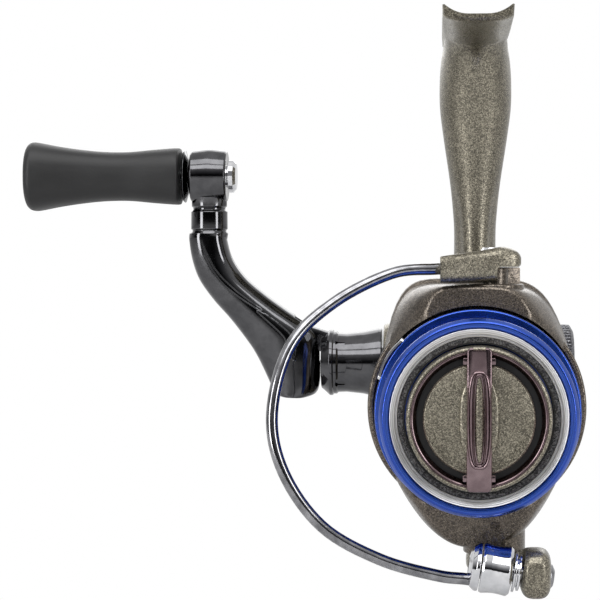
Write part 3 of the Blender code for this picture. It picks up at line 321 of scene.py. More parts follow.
def start_material(name, **shader_values):
    """A new material: its tree, its Principled shader and object coordinates."""
    look = bpy.data.materials.new(name)
    look.use_nodes = True
    tree = look.node_tree
    shader = tree.nodes["Principled BSDF"]
    for socket, value in shader_values.items():
        shader.inputs[socket.replace("_", " ")].default_value = value
    spots = add(tree, "ShaderNodeTexCoord")
    return look, tree, shader, spots.outputs["Object"]


def ramp(tree, factor, *stops):
    """A colour ramp through (position, colour) stops."""
    made = add(tree, "ShaderNodeValToRGB", {"Fac": factor})
    band = made.color_ramp
    while len(band.elements) < len(stops):
        band.elements.new(0.5)
    for element, (position, colour) in zip(band.elements, stops):
        element.position = position
        element.color = linear(colour)
    return made.outputs["Color"]


def level(tree, factor, low, high):
    """Maps 0..1 onto low..high."""
    made = add(tree, "ShaderNodeMapRange", {"Value": factor, "To Min": low, "To Max": high})
    return made.outputs["Result"]


def flake_paint(name, shades, roughness, grain=0.15):
    """Metal-flake lacquer over die-cast aluminium: aluminium flakes of about 0.15 mm lie at all angles under a
    clear coat, so the surface glitters in fine points, light and dark, and the coat gives a soft gloss."""
    look, tree, shader, spot = start_material(name, Metallic=0.78, Coat_Weight=0.25, Coat_Roughness=0.25)
    flakes = add(tree, "ShaderNodeTexVoronoi", {"Vector": spot, "Scale": 1 / (grain * MM)})
    glitter = add(tree, "ShaderNodeSeparateColor", {"Color": flakes.outputs["Color"]})
    drift = add(tree, "ShaderNodeTexNoise", {"Vector": spot, "Scale": 1 / (7 * MM), "Detail": 4.0})
    mixed = add(
        tree,
        "ShaderNodeMath",
        {0: glitter.outputs["Red"], 1: 0.72, 2: level(tree, drift.outputs["Fac"], 0.0, 0.3)},
        operation="MULTIPLY_ADD",
    )
    tree.links.new(ramp(tree, mixed.outputs[0], *shades), shader.inputs["Base Color"])
    tree.links.new(
        level(tree, glitter.outputs["Green"], roughness - 0.1, roughness + 0.1),
        shader.inputs["Roughness"],
    )
    bump = add(
        tree,
        "ShaderNodeBump",
        {"Height": glitter.outputs["Blue"], "Distance": 0.02 * MM, "Strength": 0.35},
    )
    tree.links.new(bump.outputs["Normal"], shader.inputs["Normal"])
    return look


def turned_metal(name, shades, roughness, pitch, axis_point, axis, depth=0.006, coat=0.0):
    """Metal turned on a lathe: fine rings of the tool's feed, pitch apart, run round the axis, which stretch the
    highlight into a fan. Anodising tints it and leaves the rings."""
    look, tree, shader, spot = start_material(name, Metallic=1.0, Coat_Weight=coat, Coat_Roughness=0.08)
    turn = axis.to_track_quat("Z", "Y").to_euler()
    local = add(
        tree,
        "ShaderNodeMapping",
        {"Vector": spot, "Location": axis_point, "Rotation": turn},
        vector_type="TEXTURE",
    )
    rings = add(
        tree,
        "ShaderNodeTexWave",
        {"Vector": local.outputs["Vector"], "Scale": 1 / (pitch * 20 * MM) * 2 * math.pi, "Distortion": 0.0},
        wave_type="RINGS",
        rings_direction="SPHERICAL",
    )
    grime = add(tree, "ShaderNodeTexNoise", {"Vector": spot, "Scale": 1 / (3 * MM), "Detail": 5.0})
    blend = add(
        tree,
        "ShaderNodeMath",
        {0: rings.outputs["Fac"], 1: 0.6, 2: level(tree, grime.outputs["Fac"], 0.0, 0.4)},
        operation="MULTIPLY_ADD",
    )
    tree.links.new(ramp(tree, blend.outputs[0], *shades), shader.inputs["Base Color"])
    tree.links.new(
        level(tree, grime.outputs["Fac"], roughness * 0.8, roughness * 1.25),
        shader.inputs["Roughness"],
    )
    bump = add(
        tree,
        "ShaderNodeBump",
        {"Height": rings.outputs["Fac"], "Distance": depth * MM, "Strength": 0.5},
    )
    tree.links.new(bump.outputs["Normal"], shader.inputs["Normal"])
    return look


def plated(name, dark, light, roughness, handling=2.2):
    """Electroplated metal over a polished part: nearly a mirror, with faint handling haze a few mm across."""
    look, tree, shader, spot = start_material(name, Metallic=1.0)
    haze = add(
        tree,
        "ShaderNodeTexNoise",
        {"Vector": spot, "Scale": 1 / (handling * MM), "Detail": 6.0, "Roughness": 0.6},
    )
    tree.links.new(ramp(tree, haze.outputs["Fac"], (0.35, dark), (0.7, light)), shader.inputs["Base Color"])
    tree.links.new(
        level(tree, haze.outputs["Fac"], roughness * 0.6, roughness * 1.5),
        shader.inputs["Roughness"],
    )
    grit = add(tree, "ShaderNodeTexNoise", {"Vector": spot, "Scale": 1 / (0.5 * MM), "Detail": 2.0})
    bump = add(
        tree,
        "ShaderNodeBump",
        {"Height": grit.outputs["Fac"], "Distance": 0.004 * MM, "Strength": 0.25},
    )
    tree.links.new(bump.outputs["Normal"], shader.inputs["Normal"])
    return look


def moulded(name, dark, light, roughness, grain, height, metallic=0.0):
    """Moulded rubber, nylon or pressed felt: a fine even grain, and broad dull and worn patches."""
    look, tree, shader, spot = start_material(name, Metallic=metallic)
    patch = add(tree, "ShaderNodeTexNoise", {"Vector": spot, "Scale": 1 / (9 * MM), "Detail": 4.0})
    tree.links.new(ramp(tree, patch.outputs["Fac"], (0.35, dark), (0.68, light)), shader.inputs["Base Color"])
    tree.links.new(
        level(tree, patch.outputs["Fac"], roughness - 0.08, roughness + 0.1),
        shader.inputs["Roughness"],
    )
    pores = add(tree, "ShaderNodeTexNoise", {"Vector": spot, "Scale": 1 / (grain * MM), "Detail": 3.0})
    bump = add(
        tree,
        "ShaderNodeBump",
        {"Height": pores.outputs["Fac"], "Distance": height * MM, "Strength": 0.6},
    )
    tree.links.new(bump.outputs["Normal"], shader.inputs["Normal"])
    return look


PEWTER = flake_paint("pewter_flake_lacquer", ((0.1, "#45413a"), (0.5, "#6f6a5d"), (0.9, "#a8a190")), 0.33)
BRONZE = flake_paint("bronze_flake_lacquer", ((0.1, "#35302c"), (0.5, "#585048"), (0.9, "#83796d")), 0.31)
GUNPOWDER = flake_paint(
    "graphite_flake_lacquer",
    ((0.1, "#26262a"), (0.5, "#55555a"), (0.85, "#8e8e92")),
    0.4,
    0.2,
)
BLUE = turned_metal(
    "blue_anodised_aluminium", (
        (0.1, "#1a3b98"),
        (0.6, "#2650b4"),
        (0.95, "#3c68c8"),
    ), 0.25, 0.12, SHAFT, REAR, 0.003, 0.6
)
SILVER = turned_metal(
    "face_turned_aluminium", (
        (0.1, "#c4c4c8"),
        (0.6, "#e2e2e4"),
        (0.95, "#f6f6f8"),
    ), 0.34, 0.2, SHAFT, REAR, 0.03
)
BLACK_CHROME = plated("black_chrome_plate", "#4f4f51", "#5e5e60", 0.09)
WINE_CHROME = plated("wine_black_chrome_plate", "#6e5e61", "#8b797c", 0.18)
CHROME = plated("bright_chrome_plate", "#c9cacd", "#e8e8ea", 0.05)
WIRE_STEEL = plated("dark_stainless_wire", "#77777a", "#a3a3a6", 0.12)
STEEL = turned_metal(
    "ground_steel",
    ((0.1, "#6f7074"), (0.6, "#94959a"), (0.95, "#bdbec2")),
    0.3,
    0.3,
    SHAFT,
    REAR,
)
BRASS = turned_metal(
    "machined_brass",
    ((0.1, "#8f6a2c"), (0.6, "#b58b42"), (0.95, "#d8b468")),
    0.3,
    0.3,
    CRANK,
    RIGHT,
)
RUBBER = moulded("black_moulded_rubber", "#0c0c0d", "#1a1a1b", 0.52, 0.35, 0.03)
NYLON = moulded("natural_nylon", "#b9b29d", "#d6d0bd", 0.5, 0.5, 0.01)
FELT = moulded("oiled_felt", "#2f2720", "#4b3f33", 0.9, 0.15, 0.08)
# Painted shade: a near-black matte put in the gaps round the drag knob, where only shade falls, not a blackened
# finish.
PAINTED_SHADE_BLACK = moulded("painted_shade_black", "#08080a", "#121214", 0.6, 0.3, 0.01)


# ---------------------------------------------------------------- spool and drag

LIP_FRONT = -size("spool_lip", 1)[0]
LIP_RADIUS = size("spool_lip", 0)[1]
LIP_BACK = -size("spool_lip", 1)[1]
SKIRT_REAR = -size("spool", 1)[1]
FLANGE = size("spool", 0)[1]
DRAG_RADIUS = size("drag_knob", 0)[1]
DRAG_FRONT = -size("drag_knob", 1)[0]
DRAG_REAR = -size("drag_knob", 1)[1]


def spool_axis(name, outline, steps=128, ring=True):
    """A piece turned round the main shaft; distances run towards the front."""
    return turn_on_lathe(name, outline, SHAFT, FRONT, RIGHT, steps, ring)


def make_spool():
    """The blue spool, its lip, the silver face inside the lip, a dark flake ring round the drag knob, and a black
    ring of painted shade in the gap beside the knob.
    """
    inner_edge = LIP_RADIUS - 1.6
    neck = inner_edge - 0.25
    barrel = 11.6
    base = LIP_BACK - 7.0
    body = spool_axis(
        "spool_body",
        [
            (neck, LIP_FRONT - 0.7, 0.1),
            (neck, LIP_BACK - 0.5, 0.2),
            (barrel, LIP_BACK - 0.9, 0.5),
            (barrel, base, 0.6),
            (FLANGE, base, 0.35),
            (FLANGE, base - 1.2, 0.3),
            (FLANGE - 0.6, base - 1.5, 0.15),
            (FLANGE - 0.6, base - 3.0, 0.15),
            (FLANGE - 0.9, base - 3.15, 0.1),
            (FLANGE - 0.9, SKIRT_REAR + 1.4, 0.1),
            (FLANGE - 0.55, SKIRT_REAR + 1.2, 0.15),
            (FLANGE - 0.55, SKIRT_REAR, 0.2),
            (FLANGE - 1.4, SKIRT_REAR, 0.15),
            (FLANGE - 1.4, base - 1.6, 0.4),
            (7.0, base - 1.6, 0.3),
            (7.0, 27.4, 0.2),
            (2.0, 27.4),
            (2.0, 32.4),
            (8.6, 32.4),
            (8.6, DRAG_REAR - 0.6, 0.2),
            (DRAG_RADIUS + 0.3, DRAG_REAR - 0.6),
            (DRAG_RADIUS + 0.3, LIP_FRONT - 1.6),
        ],
    )
    hand_over(body, "spool_group", BLUE, "blue", "spool")
    lip = spool_axis(
        "spool_lip_ring",
        [
            (inner_edge + 0.1, LIP_FRONT - 0.05, 0.05),
            (LIP_RADIUS - 0.6, LIP_FRONT, 0.5),
            (LIP_RADIUS, LIP_FRONT - 0.9, 0.5),
            (LIP_RADIUS, LIP_BACK + 1.2, 0.4),
            (LIP_RADIUS - 0.5, LIP_BACK, 0.3),
            (inner_edge, LIP_BACK, 0.1),
            (inner_edge, LIP_FRONT - 0.3, 0.1),
        ],
    )
    hand_over(lip, "spool_group", BLUE, "blue", "spool_lip")
    face = spool_axis(
        "spool_machined_face",
        [
            (inner_edge - 0.12, LIP_FRONT - 0.1, 0.08),
            (inner_edge - 0.12, LIP_FRONT - 0.9),
            (DRAG_RADIUS + 1.4, LIP_FRONT - 1.5),
            (DRAG_RADIUS + 1.4, LIP_FRONT - 0.6, 0.05),
            (DRAG_RADIUS + 1.6, LIP_FRONT - 0.5, 0.05),
            (DRAG_RADIUS + 1.68, LIP_FRONT - 0.62),
            (DRAG_RADIUS + 1.78, LIP_FRONT - 0.42, 0.05),
        ],
    )
    hand_over(face, "spool_group", SILVER, "silver")
    ring = spool_axis(
        "spool_inner_ring",
        [
            (DRAG_RADIUS + 1.35, LIP_FRONT - 0.8, 0.05),
            (DRAG_RADIUS + 1.35, LIP_FRONT - 1.55),
            (DRAG_RADIUS + 0.5, LIP_FRONT - 1.55),
            (DRAG_RADIUS + 0.5, LIP_FRONT - 1.1, 0.08),
        ],
    )
    hand_over(ring, "spool_group", GUNPOWDER, "umber")
    # Painted shade: a black ring lining the pocket wall, standing in for the shade in the gap between knob and spool
    # rather than a rubber seal.
    gap_shade_ring = spool_axis(
        "spool_gap_shade_ring",
        [
            (DRAG_RADIUS + 0.6, LIP_FRONT - 1.2, 0.08),
            (DRAG_RADIUS + 0.6, DRAG_REAR - 0.4, 0.1),
            (DRAG_RADIUS + 0.22, DRAG_REAR - 0.4, 0.1),
            (DRAG_RADIUS + 0.22, LIP_FRONT - 1.2, 0.08),
        ],
    )
    hand_over(gap_shade_ring, "spool_group", PAINTED_SHADE_BLACK, "rubber")


def make_clip():
    """The sprung clip for the line's end, along the skirt's flange, held by a pin at each end."""
    low, high = math.radians(137), math.radians(160)
    rings = []
    for i in range(25):
        angle = low + (high - low) * i / 24
        out = RIGHT * math.cos(angle) + UP * math.sin(angle)
        bulge = 0.25 * math.sin(math.pi * i / 24)
        rings.append(
            ellipse(
                SHAFT + out * ((FLANGE + 0.1 + bulge) * MM) + FRONT * ((LIP_BACK - 7.7) * MM),
                out,
                FRONT,
                0.3,
                0.75,
                3.0,
                16,
            ),
        )
    clip = skin_over("line_clip_spring", rings, 0)
    hand_over(clip, "spool_group", WIRE_STEEL, "blue", "line_clip")
    for name, angle in (("upper", low), ("lower", high)):
        out = RIGHT * math.cos(angle) + UP * math.sin(angle)
        spot = SHAFT + out * ((FLANGE - 0.15) * MM) + FRONT * ((LIP_BACK - 7.7) * MM)
        pin = turn_on_lathe(
            f"clip_pin_{name}",
            [(0, 0.6), (0.45, 0.6, 0.15), (0.6, 0.2), (0.6, -0.4), (0, -0.4)],
            spot,
            out,
            FRONT,
            24,
            ring=False,
        )
        hand_over(pin, "spool_group", CHROME, "blue")


def make_drag_knob():
    """The drag knob: painted rim, plated ring, a black floor of painted shade in the gap, and painted disc."""
    pocket = DRAG_FRONT - 2.2
    rim = spool_axis(
        "drag_knob_rim",
        [
            (0, pocket),
            (DRAG_RADIUS - 0.7, pocket, 0.1),
            (DRAG_RADIUS - 0.7, DRAG_FRONT - 0.2, 0.1),
            (DRAG_RADIUS - 0.5, DRAG_FRONT - 0.02, 0.15),
            (DRAG_RADIUS - 0.12, DRAG_FRONT - 0.25, 0.3),
            (DRAG_RADIUS, DRAG_FRONT - 1.5, 0.3),
            (DRAG_RADIUS, DRAG_REAR + 0.3, 0.2),
            (DRAG_RADIUS - 0.4, DRAG_REAR, 0.1),
            (DRAG_RADIUS - 1.6, DRAG_REAR),
            (DRAG_RADIUS - 1.6, pocket - 0.9),
            (0, pocket - 0.9),
        ],
        ring=False,
    )
    hand_over(rim, "drag_cap", PEWTER, "olive", "drag_knob")
    trim = spool_axis(
        "drag_knob_trim_ring",
        [
            (DRAG_RADIUS - 0.72, DRAG_FRONT - 0.3, 0.06),
            (DRAG_RADIUS - 0.72, pocket + 0.1),
            (DRAG_RADIUS - 1.75, pocket + 0.1),
            (DRAG_RADIUS - 1.75, DRAG_FRONT - 1.5, 0.08),
            (DRAG_RADIUS - 1.2, DRAG_FRONT - 0.55, 0.3),
            (DRAG_RADIUS - 1.0, DRAG_FRONT - 0.42, 0.05),
            (DRAG_RADIUS - 0.96, DRAG_FRONT - 0.55, 0.02),
            (DRAG_RADIUS - 0.9, DRAG_FRONT - 0.55, 0.02),
            (DRAG_RADIUS - 0.86, DRAG_FRONT - 0.34, 0.04),
        ],
    )
    hand_over(trim, "drag_cap", WINE_CHROME, "dark_chrome", "drag_knob_ring")
    # Painted shade: the floor at the bottom of the gap is black to stand in for the shade that falls there.
    floor = spool_axis(
        "drag_knob_floor",
        [
            (DRAG_RADIUS - 1.7, pocket + 0.12),
            (DRAG_RADIUS - 1.7, pocket - 0.1),
            (8.6, pocket - 0.1),
            (8.6, pocket + 0.12),
            (9.6, pocket + 0.12),
        ],
    )
    hand_over(floor, "drag_cap", PAINTED_SHADE_BLACK, "dark_chrome")
    disc_radius = size("drag_knob_disc", 0)[1]
    disc = spool_axis(
        "drag_knob_dish",
        [
            (0, DRAG_FRONT - 0.9),
            (disc_radius - 1.6, DRAG_FRONT - 1.0, 2.0),
            (disc_radius - 0.3, DRAG_FRONT - 0.7, 0.3),
            (disc_radius, DRAG_FRONT - 1.1, 0.2),
            (disc_radius, pocket + 0.05),
            (0, pocket + 0.05),
        ],
        ring=False,
    )
    hand_over(disc, "drag_cap", PEWTER, "olive", "drag_knob_disc")


def make_grip():
    """The bar across the drag knob: pinned ends, raised oval loops round a painted strip, cheeks beside it."""
    low, high = size("drag_knob_grip", 2)
    middle = (low + high) / 2
    half = (high - low) / 2
    width = size("drag_knob_grip", 0)[1]
    top = -size("drag_knob_grip", 1)[0]
    centre = Vector((0, 0, middle * MM))
    floor = DRAG_FRONT - 0.95
    corner = 0.5
    outline = [
        (-width, -half + corner),
        (-width + corner, -half),
        (width - corner, -half),
        (width, -half + corner),
    ]
    outline += [(-u, -v) for u, v in outline]
    base = cut_from_plate(
        "drag_grip_base",
        outline,
        centre + FRONT * ((floor + 0.65) * MM),
        RIGHT,
        UP,
        1.5,
        0.3,
    )
    for sign in (1, -1):
        for side in (1, -1):
            pin = block(
                f"grip_pin_{sign}_{side}",
                centre + UP * (sign * (half - 2.2) * MM) + RIGHT * (side * (width + 0.15) * MM) + FRONT * ((floor + 0.6) * MM),
                (0.9, 1.2, 1.1),
            )
            soften(pin, 0.15, 2)
            fuse(base, pin)
    notch = block("grip_notch", centre + UP * (half * MM) + FRONT * ((floor + 1.5) * MM), (2.0, 1.6, 1.3))
    carve(base, notch)
    hand_over(base, "drag_cap", WINE_CHROME, "dark_chrome", "drag_knob_grip")

    bed = floor + 1.4
    for name, half_width, half_length, thick, rise in (
        ("outer", 1.78, 7.7, 0.3, 0.28),
        ("inner", 1.02, 7.35, 0.22, 0.5),
    ):
        rings = []
        for i in range(72):
            angle = math.tau * i / 72
            c, s = math.cos(angle), math.sin(angle)
            u = half_width * math.copysign(abs(c) ** 0.55, c)
            v = half_length * math.copysign(abs(s) ** 0.8, s)
            outward = (RIGHT * c + UP * s * 0.4).normalized()
            height = min(rise + 0.5 * (1 - (v / half_length) ** 2), top - bed - 0.02)
            spot = centre + RIGHT * (u * MM) + UP * (v * MM) + FRONT * ((bed - 0.2) * MM)
            rings.append([
                spot + outward * (thick * math.cos(a) * MM) + FRONT * (max(-0.1, (height + 0.2) * math.sin(a)) * MM)
                for a in (math.tau * k / 16 for k in range(16))
            ])
        loop = closed_tube(f"grip_loop_{name}", rings)
        hand_over(loop, "drag_cap", WINE_CHROME, "dark_chrome")

    strip_rings = []
    for v, half_width, rise in flow(
        (
            (-1.0, 0.1, 0.0),
            (-0.93, 0.35, 0.15),
            (-0.6, 0.66, 0.35),
            (0, 0.78, 0.45),
            (0.6, 0.66, 0.35),
            (0.93, 0.35, 0.15),
            (1.0, 0.1, 0.0),
        ),
        4,
    ):
        spot = centre + UP * (v * 6.9 * MM) + FRONT * ((bed - 0.1) * MM)
        strip_rings.append(ellipse(spot, RIGHT, FRONT, max(0.08, half_width), 0.2 + max(0.0, rise), 2.6, 16))
    strip = skin_over("drag_grip_strip", strip_rings, 0)
    hand_over(strip, "drag_cap", PEWTER, "olive")

    for sign in (1, -1):
        cheek_rings = []
        for v, reach, rise in (
            (-1, 0.7, 0.0),
            (-0.85, 0.9, 0.45),
            (-0.6, 1.9, 0.55),
            (0, 1.95, 0.6),
            (0.6, 1.9, 0.55),
            (0.85, 0.9, 0.45),
            (1, 0.7, 0.0),
        ):
            spot = centre + UP * (v * 6.6 * MM) + RIGHT * (sign * (width - 0.7) * MM) + FRONT * ((floor - 0.1) * MM)
            cheek_rings.append(ellipse(spot, RIGHT, FRONT, reach, rise + 0.25, 3.4, 24))
        cheek = skin_over(f"drag_cheek_{'right' if sign > 0 else 'left'}", cheek_rings, 1)
        hand_over(cheek, "drag_cap", PEWTER, "olive")


def closed_tube(name, rings):
    """A tube bridged through rings that run round and meet again."""
    return skin_over(name, [*rings, rings[0]], 0, False)


# ---------------------------------------------------------------- shapes shared by several pieces


def at(x, y, z):
    """A place in millimetres from where the crank axis crosses the main shaft's plane."""
    return SHAFT + Vector((x, y, z)) * MM


def flow(rows, between=4):
    """Rows of numbers with smooth (Catmull-Rom) rows added between them."""
    result = []
    for i in range(len(rows) - 1):
        a, b, c, d = (rows[max(0, min(k, len(rows) - 1))] for k in (i - 1, i, i + 1, i + 2))
        for k in range(between):
            t = k / between
            result.append(
                tuple(
                    0.5 * (2 * q + (r - p) * t + (2 * p - 5 * q + 4 * r - s) * t * t + (3 * q - p - 3 * r + s) * t**3)
                    for p, q, r, s in zip(a, b, c, d)
                )
            )
    return result + [tuple(rows[-1])]


def outline_round(circles, inset=0.0, steps=64):
    """The outline round circles (across, along, radius), moved inwards by the inset."""
    points = []
    for u, v, radius in circles:
        for i in range(steps):
            angle = math.tau * i / steps
            points.append(
                Vector((u + (radius - inset) * math.cos(angle), v + (radius - inset) * math.sin(angle))),
            )
    corners = [points[i] for i in convex_hull_2d(points)]
    return [tuple(p) for i, p in enumerate(corners) if (p - corners[i - 1]).length > 0.12]


def wire_along(name, points, radius, sides=20, between=8):
    """A round wire through points, as rings bridged along a smooth line."""
    line = [Vector(row) for row in flow([tuple(p) for p in points], between)]
    rings = []
    side = UP
    for i, spot in enumerate(line):
        ahead = (line[min(i + 1, len(line) - 1)] - line[max(i - 1, 0)]).normalized()
        side = (side - ahead * side.dot(ahead)).normalized()
        across = ahead.cross(side)
        rings.append(
            [
                spot + (side * math.cos(a) + across * math.sin(a)) * (radius * MM)
                for a in (math.tau * k / sides for k in range(sides))
            ],
        )
    return skin_over(name, rings, 0)


# ---------------------------------------------------------------- housing, stem and foot

GEARBOX = ((-3.9, 10.0, 6.5), (-4.4, -7.0, 6.0), (4.0, -6.0, 8.5), (3.0, 8.5, 9.0), (10.5, -1.5, 8.0))
HOUSING_LEFT, HOUSING_RIGHT = -11.5, 8.5
REAR_CUT = 16.8
CRANK_Z = (CRANK.z - SHAFT.z) / MM
FOOT_Z = -SHAFT.z / MM
KNOB_Z = 40.7  # the knob's axis
BAIL_PIVOT = (3.0, -23.0)  # across, along the shaft


def side_plate(name, circles, low, high, edge, inset=0.0):
    """A plate seen from the side, between two places across the reel."""
    middle = at((low + high) / 2, 0, 0)
    return cut_from_plate(name, outline_round(circles, inset), middle, REAR, UP, high - low, edge, 5)


def foot_ring(y, thickness, half):
    """The foot across the reel: a saddle above with a flat middle, a shallow belly below."""
    land, rise = 1.5, 1.6
    points = []
    for i in range(9):
        share = 1 - i / 8
        points.append((land + (half - land) * share, rise * share**2.2))
    for i in range(1, 9):
        points.append((land - 2 * land * i / 8, 0.0))
    for i in range(1, 9):
        share = i / 8
        points.append((-land - (half - land) * share, rise * share**2.2))
    for i in range(1, 15):
        turn = math.pi / 2 - math.pi * i / 15
        points.append((-half * math.sin(turn), -thickness * math.cos(turn)))
    return [at(x, y, FOOT_Z + z) for x, z in points]


def stem_ring(z, half, front, rear, rib, step):
    """The stem across: a rounded front with a raised middle rib, and a rounded back."""
    points = []
    count = 56
    middle, depth = (front + rear) / 2, (rear - front) / 2
    for i in range(count):
        angle = math.tau * (i + 0.5) / count
        c, s = math.cos(angle), math.sin(angle)
        x = half * math.copysign(abs(c) ** (2 / 2.1), c)
        y = middle + depth * math.copysign(abs(s) ** (2 / 2.0), s)
        if s < 0:
            beside = min(1.0, max(0.0, (abs(x) - rib) / 0.5))
            y += step * beside * beside * (3 - 2 * beside) * (1 - 0.6 * (abs(x) / half) ** 6)
            y -= 0.1 * max(0.0, 1 - abs(x) / 0.14)
        points.append(at(x, y, z))
    return points


def make_housing():
    """Gearbox, stem and foot cast in one, with the left boss and the front collar."""
    box = side_plate("housing_body", GEARBOX, HOUSING_LEFT, HOUSING_RIGHT, 2.2)
    front, rear = -29.0, 27.0
    wide = 6.1
    foot = skin_over(
        "foot",
        [
            foot_ring(y, t, wide - narrow)
            for y, t, narrow in flow(
                (
                    (front, 0.7, 0.35),
                    (front + 0.5, 1.15, 0.08),
                    (front + 1.5, 1.5, 0.0),
                    (front + 6, 1.9, 0.0),
                    (front + 12, 3.0, 0.0),
                    (-8, 4.2, 0.0),
                    (9, 4.2, 0.0),
                    (rear - 12, 3.0, 0.0),
                    (rear - 6, 1.9, 0.0),
                    (rear - 1.5, 1.5, 0.0),
                    (rear - 0.5, 1.15, 0.08),
                    (rear, 0.7, 0.35),
                ),
                3,
            )
        ],
        0,
    )
    stem = skin_over(
        "stem",
        [
            stem_ring(*row)
            for row in flow(
                (
                    (FOOT_Z - 1.2, 5.7, -19.0, 20.0, 8.0, 0.0),
                    (FOOT_Z - 3.2, 5.9, -13.6, 14.6, 8.0, 0.0),
                    (FOOT_Z - 5.5, 6.25, -10.6, 11.8, 8.0, 0.0),
                    (FOOT_Z - 9.0, 6.5, -8.9, 10.0, 7.0, 0.0),
                    (FOOT_Z - 14.0, 6.45, -7.4, 8.3, 6.0, 0.0),
                    (FOOT_Z - 20.0, 5.7, -6.2, 7.4, 5.4, 0.0),
                    (FOOT_Z - 27.0, 4.65, -5.2, 7.2, 3.9, 0.15),
                    (FOOT_Z - 32.0, 4.1, -4.7, 7.5, 2.6, 0.8),
                    (FOOT_Z - 37.0, 3.8, -4.4, 8.2, 2.15, 1.1),
                    (23.0, 4.0, -4.3, 10.0, 2.15, 1.1),
                    (14.5, 5.0, -4.6, 12.5, 2.4, 1.0),
                ),
                5,
            )
        ],
        0,
    )
    collar = turn_on_lathe(
        "front_collar",
        [(0, 7.0), (8.1, 7.0), (8.1, 13.9, 0.5), (0, 13.9)],
        SHAFT,
        FRONT,
        RIGHT,
        64,
        ring=False,
    )
    boss = turn_on_lathe(
        "left_boss",
        [
            (0, 16.6),
            (7.0, 16.6, 0.5),
            (7.35, 15.0, 1.0),
            (7.8, 12.6, 0.6),
            (9.0, 11.4, 0.4),
            (9.0, 9.5),
            (0, 9.5),
        ],
        at(0, 0, CRANK_Z),
        LEFT,
        UP,
        64,
        ring=False,
    )
    fuse(box, stem, foot, collar, boss)
    rear_side = block("rear_side", at(0, REAR_CUT + 10, 0), (40, 20, 44))
    carve(box, rear_side)
    space = side_plate(
        "gear_space",
        (*GEARBOX[:-1], (8.6, -1.5, 8.0)),
        HOUSING_LEFT + 2,
        HOUSING_RIGHT + 2,
        0,
        2.0,
    )
    crank_way = bar("crank_way", 3.6, at(0, 0, CRANK_Z), RIGHT, -18, 0)
    collar_way = bar("collar_way", 5.9, SHAFT, FRONT, 6, 15, 48)
    carve(box, space, crank_way, collar_way)
    hand_over(box, "housing", PEWTER, "olive", "housing", angle=32)


def make_cover():
    """The cover on the right of the gearbox, and the guard behind it."""
    low = HOUSING_RIGHT + 0.3
    cover = side_plate("side_cover_plate", GEARBOX, low, low + 2.2, 0.9)
    boss = turn_on_lathe(
        "cover_boss",
        [(0, 9.5), (8.3, 9.5), (7.8, 11.4, 0.8), (7.4, 13.5, 0.6), (4.4, 13.5, 0.1), (4.4, 13.1), (0, 13.1)],
        at(0, 0, CRANK_Z),
        RIGHT,
        UP,
        64,
        ring=False,
    )
    fuse(cover, boss)
    panel = side_plate("cover_panel", GEARBOX, low + 2.0, low + 3.0, 0, 2.6)
    keep = bar("panel_keep", 9.2, at(0, 0, CRANK_Z), RIGHT, 5, 20, 48)
    carve(panel, keep)
    way = bar("cap_way", 3.6, at(0, 0, CRANK_Z), RIGHT, 5, 20)
    rear_side = block("cover_rear", at(0, REAR_CUT + 10, 0), (40, 20, 44))
    carve(cover, panel, way, rear_side)
    hand_over(cover, "housing", PEWTER, "olive", "side_cover", angle=32)

    guard_middle = -0.5
    rings = [
        ellipse(at(guard_middle, y, z), RIGHT, UP, across, high, full, 40)
        for y, z, across, high, full in flow(
            (
                (17.1, -1.3, 9.0, 7.0, 3.2),
                (17.5, -1.3, 9.2, 7.2, 3.2),
                (19.7, -1.5, 8.6, 6.6, 2.8),
                (22.0, -1.9, 6.8, 5.2, 2.5),
                (23.2, -2.25, 4.4, 3.4, 2.2),
                (23.55, -2.3, 2.6, 2.0, 2.0),
            ),
            4,
        )
    ]
    guard = skin_over("rear_guard_shell", rings, 0)
    hand_over(guard, "housing", BRONZE, "umber", "rear_guard", angle=40)


# ---------------------------------------------------------------- rotor and bail


def arm_ring(forward, half, top, side, left_peak, right_peak):
    """A slice of a rotor arm: the spool skirt's curve inside, a crown outside that falls away at each side."""
    inner = 17.9
    inside = [
        (share * half, math.sqrt(inner**2 - (share * half) ** 2))
        for share in (k / 12 - 1 for k in range(25))
    ]
    edge = inside[0][1] + 1.2
    crown = []
    for k in range(41):
        share = k / 20 - 1
        peak = left_peak if share < 0 else right_peak
        crown.append((share * half, edge + (top - edge) * (1 - abs(share) ** peak)))
    return [at(x, -forward, side * z) for x, z in inside + crown[::-1]]


